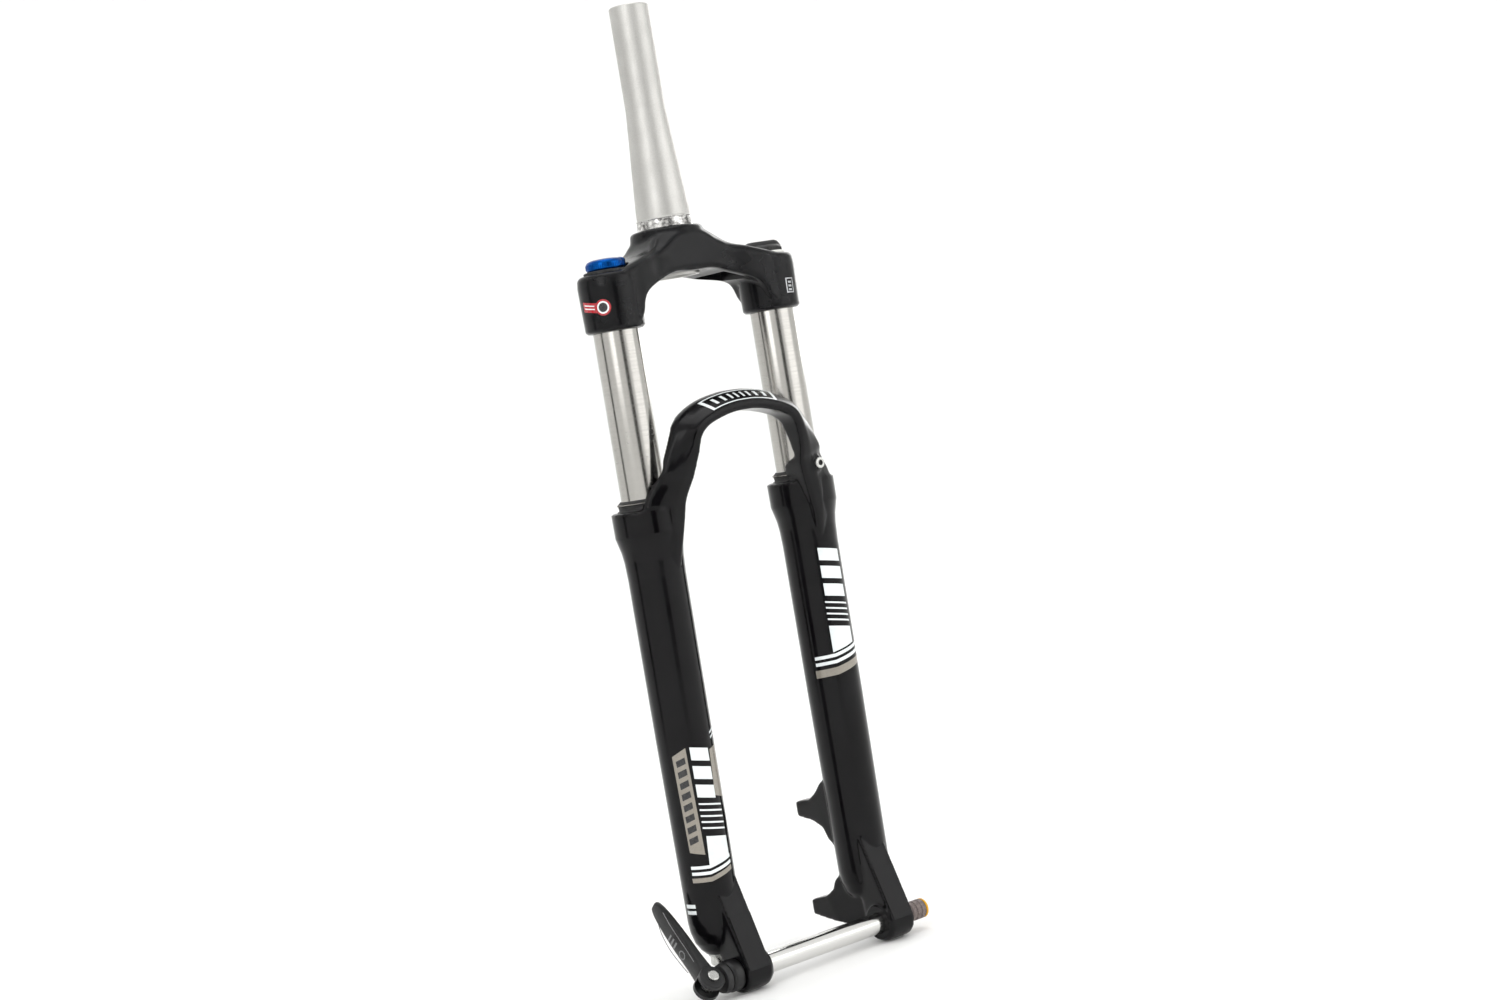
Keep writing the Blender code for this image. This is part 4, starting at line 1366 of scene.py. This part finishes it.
@dataclass
class Axle:
    """Hollow axle with its spreading collar, end ring, cam washer and draw rod."""

    radius: float = 7.5
    collar_radius: float = 7.2
    pin_x: float = -103.0

    def turned(self, name: str, profile: list[Flat], finish: Finish, ring: bool = True) -> bpy.types.Object:
        """Turn one piece about the axle's line.

        Args:
            name: The piece's name.
            profile: (radius, x) points.
            finish: Its finish.
            ring: Whether it has a hole through it.

        Returns:
            The piece.
        """
        centre = (0, AXLE_Y, AXLE_Z)
        return dressed(lathe(name, profile, centre, ACROSS, 72, ring, 0.25), finish)

    def build(self) -> None:
        """Make every piece on the axle's line."""
        r = self.radius
        tube = [(r - 0.5, 78.4), (r, 77.8), (r, -79), (10.6, -79), (11.2, -80), (11.2, -86), (10.2, -88.2),
                (4.2, -88.2), (4.2, 78.4)]
        shaft = self.turned("axle_shaft", tube, BRIGHT_AXLE)
        coated(shaft, LEVER_COAT, lambda spot: spot.x < -79.2)
        placed(shaft, "axle", ["axle_tube"])
        core = self.turned("collar_core", [(6.8, 97.5), (6.8, 79.0), (3.9, 79.0), (3.9, 97.5)], COLLAR_COAT)
        bands = []
        for start in (79.6, 84.2, 88.8, 93.4):
            edge = self.collar_radius
            hoop = [(edge - 0.1, start + 3.3), (edge, start + 3.0), (edge, start + 0.3), (edge - 0.1, start),
                    (6.0, start), (6.0, start + 3.3)]
            bands.append(self.turned("collar_band", hoop, COLLAR_COAT))
        ribs = ToothedRing(Tooth.BAR, 26, 6.85, 0.3, 17.4)
        fluting = ribs.build("collar_ribs", COLLAR_COAT, (88.4, AXLE_Y, AXLE_Z), ACROSS)
        collar = merged("axle_collar_ribbed", [core, fluting, *bands])
        placed(collar, "axle", ["axle_collar"])
        end = self.turned("end_ring", [(7.1, 99.4), (7.1, 97.8), (3.7, 97.8), (3.7, 99.5)], YELLOW_ACETAL)
        placed(end, "skewer", ["axle_end_ring"])
        cup = [(10.0, -88.5), (10.6, -89.5), (9.6, -93.2), (4.2, -93.2), (4.2, -88.5)]
        placed(self.turned("cam_cup", cup, MOULDED_NYLON), "skewer", ["cam_washer"])
        rod = bar("draw_rod_body", 3.3, 99.4, self.pin_x, (0, AXLE_Y, AXLE_Z), ACROSS, 72, 0.25)
        carved(rod, [bar("eye", 5.0, 3.4, -3.4, CamLever.pivot, CamLever.pin, 48, 0.5)], add_on=True)
        carved(rod, [bar("eye_hole", 2.9, 6, -6, CamLever.pivot, CamLever.pin, 40)])
        placed(dressed(rod, PLATED_STEEL), "skewer", ["draw_rod"])


@dataclass
class CamLever:
    """Curved cam lever and its pin."""

    pivot = Vector((-103.0, AXLE_Y, AXLE_Z))
    arm = Vector((0, math.cos(ARM_SLOPE), math.sin(ARM_SLOPE)))
    pin = Vector((0, -math.sin(ARM_SLOPE), math.cos(ARM_SLOPE)))
    length: float = 70.5
    edge_radius: float = 0.28

    def spot(self, along: float, across: float, outward: float) -> Vector:
        """Give a point by its place along, across and off the arm."""
        return self.pivot + along * self.arm + across * self.pin + Vector((-outward, 0, 0))

    def section(self, along: float, outward: float, thick: float, wide: float) -> Ring:
        """Give the arm's rounded section.

        Args:
            along: Distance from the pin.
            outward: How far the arm's middle stands out.
            thick: Its thickness.
            wide: Its width.

        Returns:
            The section's ring.
        """
        half, edge = thick / 2, wide / 2
        corners = [(half * 0.75, edge), (-half, edge), (-half, -edge), (half * 0.75, -edge), (half, 0)]
        line = eased(corners, min(half, 2.4), True)
        return [self.spot(along, across, out) for out, across in line]

    def build(self) -> None:
        """Make the lever, the rim along its edges, its small mark and its pin."""
        cheek = [(0, 8), (8.4, 8), (9.2, 7.2), (9.2, -7.2), (8.4, -8), (0, -8)]
        lever = lathe("cam_lever_head", cheek, self.pivot, self.pin, 72, ease=0.5)
        stations = [
            (3, 0, 12, 15.0), (12, 0.5, 9.5, 15.6), (22, 1.6, 7.0, 17.2), (34, 2.6, 5.6, 18.6),
            (46, 2.4, 5.0, 18.0), (56, 0.6, 4.6, 16.4), (64, -2.0, 4.2, 13.8), (68.5, -4.0, 3.6, 10.8),
            (self.length, -4.9, 3.0, 8.0),
        ]
        arm = skin("cam_lever_arm", flowing([self.section(*station) for station in stations], 5))
        carved(lever, [arm], add_on=True)
        mouth = ((-13, -13), (13, -13), (13, 5.6), (-13, 5.6))
        slot = skin("mouth", [[self.spot(z, across, out) for out, z in mouth] for across in (-3.9, 3.9)])
        rim = ((14, -5.6, -9), (60, -4.6, -9), (60, 4.6, -9), (14, 5.6, -9))
        floor = ((19, -4.8, -0.2), (54, -4.2, -0.4), (54, 4.2, -0.4), (19, 4.8, -0.2))
        hollow = skin("hollow", [[self.spot(*place) for place in level] for level in (rim, floor)])
        hole = bar("pin_hole", 2.9, 12, -12, self.pivot, self.pin, 40)
        carved(lever, [slot, hole, hollow])
        dressed(lever, LEVER_COAT)
        trim = [self.edge_line(sign) for sign in (1, -1)] + self.mark()
        placed(merged("cam_lever_finished", [lever, *trim]), "lever", ["cam_lever"])
        profile = [(0, 10.0), (3.5, 10.0), (4.1, 9.5), (4.1, 8.3), (2.6, 8.3), (2.6, -8.3), (4.1, -8.3),
                   (4.1, -9.6), (0, -9.6)]
        rivet = dressed(lathe("cam_rivet", profile, self.pivot, self.pin, 48, ease=0.25), PLATED_STEEL)
        placed(rivet, "lever", ["cam_pin"])

    def edge_line(self, sign: int) -> bpy.types.Object:
        """Lay a fine bright line where the coat is worn along one edge of the arm.

        Args:
            sign: 1 for the upper edge, -1 for the lower.

        Returns:
            The line.
        """
        rings = []
        stations = ((16, 5.0, 7.8), (26, 5.2, 8.8), (38, 5.3, 9.2), (50, 4.2, 8.6), (60, 2.0, 7.3))
        for along, outward, wide in stations:
            middle = self.spot(along, sign * (wide - 1.7), outward - 0.25)
            rings.append(round_ring(middle, self.edge_radius, self.pin, Vector(ACROSS), 8))
        return dressed(skin("edge_line", flowing(rings, 5)), CUT_EDGE)

    def mark(self) -> list[bpy.types.Object]:
        """Make the plain ring and three short bars on the arm's outer face."""
        away = Vector((-1, 0, 0))
        ring = [(3.3, 0.25), (3.3, 0), (2.5, 0), (2.5, 0.25)]
        shapes = [lathe("mark_ring", ring, self.spot(27, 0, 4.95), away, 40, ring=True)]
        for along in (35, 38.5, 42):
            base = [self.spot(along + a, b, 5.15) for a, b in ((0, -3), (1.4, -3), (1.4, 3), (0, 3))]
            shapes.append(skin("mark_bar", [base, [point + away * 0.22 for point in base]]))
        return [dressed(shape, CUT_EDGE) for shape in shapes]


# ---- Graphics -----------------------------------------------------------------------------------

@dataclass
class Graphics:
    """Plain bars, blocks and stripes in the place of the printed films."""

    def right_leg(self, casting: bpy.types.Object) -> None:
        """Lay the film on the rider's right leg."""
        film = Film(-1, 20.0)
        film.quad(TAUPE_FILM, (-24.0, -363.5), (-13.4, -358.5), (-11.8, -433.5), (-22.8, -431.0))
        film.quad(TAUPE_FILM, (5.2, -363.0), (14.0, -361.0), (14.0, -398.0), (3.5, -395.0))
        film.quad(TAUPE_FILM, (-24.5, -449.0), (-10.0, -449.4), (-10.0, -452.6), (-24.5, -452.2))
        film.quad(TAUPE_FILM, (-10.0, -449.4), (9.0, -444.6), (9.0, -447.8), (-10.0, -452.6))
        film.bars(WHITE_FILM, ((-10.6, -358.5), (3.6, -361.7), (3.6, -370.7), (-10.6, -367.5)), 13.0, 3)
        film.bars(WHITE_FILM, ((-10.6, -397.6), (8.4, -401.4), (8.4, -402.6), (-10.6, -398.8)), 4.2, 5)
        film.quad(WHITE_FILM, (-9.0, -421.0), (8.4, -424.2), (8.4, -437.4), (-10.0, -441.2))
        film.bars(WHITE_FILM, ((-24.0, -440.6), (-10.0, -441.2), (-10.0, -443.4), (-24.0, -442.8)), 4.2, 2)
        film.bars(WHITE_FILM, ((-10.0, -441.2), (9.0, -437.0), (9.0, -439.2), (-10.0, -443.4)), 4.2, 2)
        film.bars(WHITE_FILM, ((8.6, -351.4), (14.6, -349.0), (14.6, -350.4), (8.6, -352.8)), 3.4, 2)
        film.bars(BLACK_FILM, ((-21.6, -367.0), (-15.0, -364.8), (-14.8, -369.2), (-21.4, -371.4)), 7.8, 8)
        film.bars(WHITE_FILM, ((-36.0, -467.6), (-26.0, -467.4), (-26.0, -470.0), (-36.0, -470.2)), 4.4, 2)
        placed(film.build("film_right_leg", casting), "lowers")

    def left_leg(self, casting: bpy.types.Object) -> None:
        """Lay the film on the rider's left leg."""
        film = Film(1, 20.0)
        film.bars(WHITE_FILM, ((-9.8, -243.0), (8.6, -246.6), (8.6, -255.6), (-9.8, -252.0)), 13.0, 3)
        film.bars(WHITE_FILM, ((-10.6, -282.0), (9.0, -286.0), (9.0, -287.2), (-10.6, -283.2)), 4.2, 4)
        film.quad(WHITE_FILM, (-10.6, -300.0), (9.0, -303.6), (9.0, -315.0), (-10.6, -319.6))
        film.bars(WHITE_FILM, ((-25.0, -321.4), (-9.0, -320.6), (-9.0, -323.0), (-25.0, -323.8)), 4.6, 2)
        film.bars(WHITE_FILM, ((-9.0, -320.6), (14.0, -315.4), (14.0, -317.8), (-9.0, -323.0)), 4.6, 2)
        film.quad(TAUPE_FILM, (-26.0, -331.4), (-9.0, -330.4), (-9.0, -336.0), (-26.0, -337.0))
        film.quad(TAUPE_FILM, (-9.0, -330.4), (14.0, -325.2), (14.0, -330.4), (-9.0, -336.0))
        placed(film.build("film_left_leg", casting), "lowers")

    def crown(self, crown: bpy.types.Object) -> None:
        """Lay the red bar with its ringed dot, and the small foil badge, on the crown."""
        film = Film(-1, 21.3)
        film.quad(RED_FILM, (-37.0, -45.6), (-22.5, -48.2), (-22.5, -55.0), (-37.0, -52.4))
        film.disc(RED_FILM, -19.6, -51.5, 4.2, 5.6)
        film.disc(WHITE_FILM, -19.6, -51.5, 3.1, 4.3)
        film.disc(BLACK_FILM, -19.6, -51.5, 0.05, 3.2)
        film.bars(WHITE_FILM, ((-35.5, -47.6), (-26.0, -49.3), (-26.0, -50.1), (-35.5, -48.4)), 2.2, 2)
        placed(film.build("film_crown_right", crown), "uppers")
        badge = Film(1, 21.3)
        badge.bars(SILVER_FILM, ((-0.6, -47.2), (7.0, -47.4), (7.0, -48.2), (-0.6, -48.0)), 10.0, 2)
        badge.quad(SILVER_FILM, (-0.6, -48.0), (0.4, -48.0), (0.4, -57.2), (-0.6, -57.2))
        badge.quad(SILVER_FILM, (6.0, -48.0), (7.0, -48.2), (7.0, -57.4), (6.0, -57.2))
        badge.bars(SILVER_FILM, ((1.6, -49.6), (4.8, -49.7), (4.8, -51.2), (1.6, -51.1)), 2.7, 3)
        placed(badge.build("film_crown_left", crown), "uppers")

    def arch(self, casting: bpy.types.Object) -> None:
        """Lay the outlined strip on the leaning face of the arch."""
        rings = LowerLegs().arch_rings()
        face = [(Vector(ring[3]), Vector(ring[5])) for ring in rings if abs(ring[3][0]) < 31]
        film = Film(1, 20.0)
        tree = film.surface(casting)
        work = bmesh.new()
        last = len(face) - 1
        bands = [(0.06, 0.12, 0, last), (0.88, 0.94, 0, last), (0.12, 0.88, 0, 1),
                 (0.12, 0.88, last - 1, last)]
        bands += [(0.30, 0.72, k, k + 1) for k in range(3, last - 2, 3)]
        for low, high, first, final in bands:
            rows = []
            for inner, outer in face[first:final + 1]:
                points = [inner.lerp(outer, low + (high - low) * k / 3) * MM for k in range(4)]
                rows.append([work.verts.new(film.laid(tree, point, 1)) for point in points])
            for near, far in zip(rows, rows[1:]):
                for k in range(3):
                    work.faces.new((near[k], near[k + 1], far[k + 1], far[k]))
        placed(film.sheet("film_arch", work, tree, WHITE_FILM), "lowers")

    def build(self, casting: bpy.types.Object, crown: bpy.types.Object) -> None:
        """Lay every film.

        Args:
            casting: The finished lower legs.
            crown: The finished crown.
        """
        self.right_leg(casting)
        self.left_leg(casting)
        self.crown(crown)
        self.arch(casting)


# ---- Pieces that keep their CAD shape ------------------------------------------------------------

@dataclass
class InnerPieces:
    """Sealed pieces whose CAD shape is right, and which only need their finish."""

    finishes: dict[str, Finish] = field(default_factory=lambda: {
        "lockout_shaft": MACHINED_ALUMINIUM, "lockout_valve": MACHINED_ALUMINIUM,
        "damper_body": MACHINED_ALUMINIUM, "damper_seal_head": MACHINED_ALUMINIUM,
        "damper_rod": POLISHED_STEEL, "damper_piston": MACHINED_ALUMINIUM,
        "preload_spindle": MACHINED_ALUMINIUM, "preload_plunger": WHITE_ACETAL,
        "spring_perch": WHITE_ACETAL,
        "top_out_bumper": NITRILE_AND_SOCKET_SHADE, "spring_rod_guide": MACHINED_ALUMINIUM, "spring_rod": POLISHED_STEEL,
        "bottom_bumper": NITRILE_AND_SOCKET_SHADE, "foam_ring_left": OILED_FOAM, "foam_ring_right": OILED_FOAM,
        "upper_bush_left": BUSH_POLYMER, "upper_bush_right": BUSH_POLYMER, "lower_bush_left": BUSH_POLYMER,
        "lower_bush_right": BUSH_POLYMER, "foot_washer_left": MACHINED_ALUMINIUM,
        "foot_washer_right": MACHINED_ALUMINIUM,
    })

    def build(self) -> None:
        """Give each CAD node its finish."""
        for name, finish in self.finishes.items():
            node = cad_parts[name]
            if not node.material_slots:
                node.data.materials.append(finish.material())
            for holder in node.material_slots:
                holder.material = finish.material()
            LOG.info("%s: %s", name, finish.name)


# ---- Studio -------------------------------------------------------------------------------------

@dataclass
class Studio:
    """Pale floor that curves up all round, soft lights, black flags and the camera."""

    floor_radius: float = 1600.0
    wall_radius: float = 3600.0
    wall_height: float = 3400.0
    lens: float = 58.23
    azimuth: float = math.radians(-39.08)
    elevation: float = math.radians(-2.092)
    roll: float = math.radians(-9.47)
    stand: tuple[float, float, float] = (-1073.64, -1365.95, -137.04)

    def floor(self) -> None:
        """Make the floor and the wall that it curves into."""
        base = CAD_BOX[0][2] / MM - 0.6
        profile = [(0.0, base), (self.floor_radius, base)]
        bend = self.wall_radius - self.floor_radius
        for i in range(1, 17):
            angle = math.pi / 2 * i / 16
            profile.append((self.floor_radius + bend * math.sin(angle), base + bend * (1 - math.cos(angle))))
        profile.append((self.wall_radius, self.wall_height))
        work = bmesh.new()
        spins = 96
        hoops = []
        for radius, height in profile:
            middle = Vector((0, 0, height))
            steps = [math.tau * i / spins for i in range(spins if radius else 1)]
            round_it = [middle + radius * Vector((math.cos(step), math.sin(step), 0)) for step in steps]
            hoops.append([work.verts.new(point * MM) for point in round_it])
        for low, high in zip(hoops, hoops[1:]):
            for i in range(spins):
                j = (i + 1) % spins
                corners = (low[i % len(low)], low[j % len(low)], high[j], high[i])
                work.faces.new(list(dict.fromkeys(corners)))
        mesh = bpy.data.meshes.new("studio_floor")
        work.to_mesh(mesh)
        work.free()
        dressed(linked("studio_floor", mesh), STUDIO_PAINT)

    def lamp(self, name: str, place: Point, aim: Point, size: Flat, power: float) -> None:
        """Hang one soft box.

        Args:
            name: The light's name.
            place: Where it hangs, in millimetres.
            aim: What it points at.
            size: Its width and height.
            power: Its power in watts.
        """
        data = bpy.data.lights.new(name, "AREA")
        data.shape = "RECTANGLE"
        data.size, data.size_y = size[0] * MM, size[1] * MM
        data.energy = power
        lamp = bpy.data.objects.new(name, data)
        lamp.location = Vector(place) * MM
        lamp.rotation_euler = (Vector(aim) - Vector(place)).to_track_quat("-Z", "Y").to_euler()
        lamp.visible_camera = False
        bpy.context.scene.collection.objects.link(lamp)

    def flag(self, name: str, place: Point, size: Flat) -> None:
        """Stand a black cloth facing the fork, unseen by the camera.

        Args:
            name: The flag's name.
            place: Its centre in millimetres.
            size: Its width and height.
        """
        wide, tall = size[0] / 2, size[1] / 2
        middle = Vector(place)
        across = Vector((-middle.y, middle.x, 0)).normalized()
        rings = []
        for depth in (0.0, 4.0):
            back = Vector((middle.x, middle.y, 0)).normalized() * depth
            corners = ((-wide, -tall), (wide, -tall), (wide, tall), (-wide, tall))
            rings.append([middle + back + across * a + Vector((0, 0, b)) for a, b in corners])
        cloth = dressed(skin(name, rings), FLAG_CLOTH)
        cloth.visible_camera = False
        cloth.visible_shadow = False
        cloth.visible_diffuse = False

    def camera(self) -> None:
        """Stand the camera in front, to the fork's right, a little tilted."""
        data = bpy.data.cameras.new("camera")
        data.lens = self.lens
        data.sensor_width = 36.0
        data.clip_end = 50.0
        camera = bpy.data.objects.new("camera", data)
        turn = Matrix.Rotation(self.azimuth, 4, "Z")
        tip = Matrix.Rotation(math.pi / 2 + self.elevation, 4, "X")
        roll = Matrix.Rotation(self.roll, 4, "Z")
        camera.matrix_world = Matrix.Translation(Vector(self.stand) * MM) @ turn @ tip @ roll
        bpy.context.scene.collection.objects.link(camera)
        bpy.context.scene.camera = camera

    def world(self) -> None:
        """Light the room evenly from all round."""
        world = bpy.data.worlds.new("studio_light")
        world.use_nodes = True
        back = world.node_tree.nodes["Background"]
        back.inputs["Color"].default_value = linear("#ffffff")
        back.inputs["Strength"].default_value = 1.0
        bpy.context.scene.world = world
        bpy.context.scene.view_settings.view_transform = "Standard"

    def build(self) -> None:
        """Set up the whole studio."""
        self.floor()
        middle = (0, 0, -200)
        self.lamp("key", (-1900, -900, 900), middle, (900, 1600), 9)
        self.lamp("fill", (1180, -2130, 500), middle, (2000, 1600), 11)
        self.lamp("rim", (1900, 900, 700), middle, (700, 1600), 8)
        self.lamp("top", (0, 0, 2400), middle, (1800, 1800), 14)
        self.flag("flag_left", (-1390, 640, -200), (260, 1500))
        self.flag("flag_front", (-500, -1830, -200), (560, 1500))
        self.camera()
        self.world()


def main() -> None:
    """Build every sub-assembly in order."""
    logging.basicConfig(level=logging.INFO, format="%(name)s %(message)s")
    Steerer().build()
    crown = Crown().build()
    UpperTubes().build()
    Lockout().build()
    Preload().build()
    CoilSpring().build()
    casting = LowerLegs().build()
    HoseGuideScrew().build()
    Seals().build()
    Axle().build()
    CamLever().build()
    Graphics().build(casting, crown)
    InnerPieces().build()
    Studio().build()


if __name__ == "__main__":
    main()
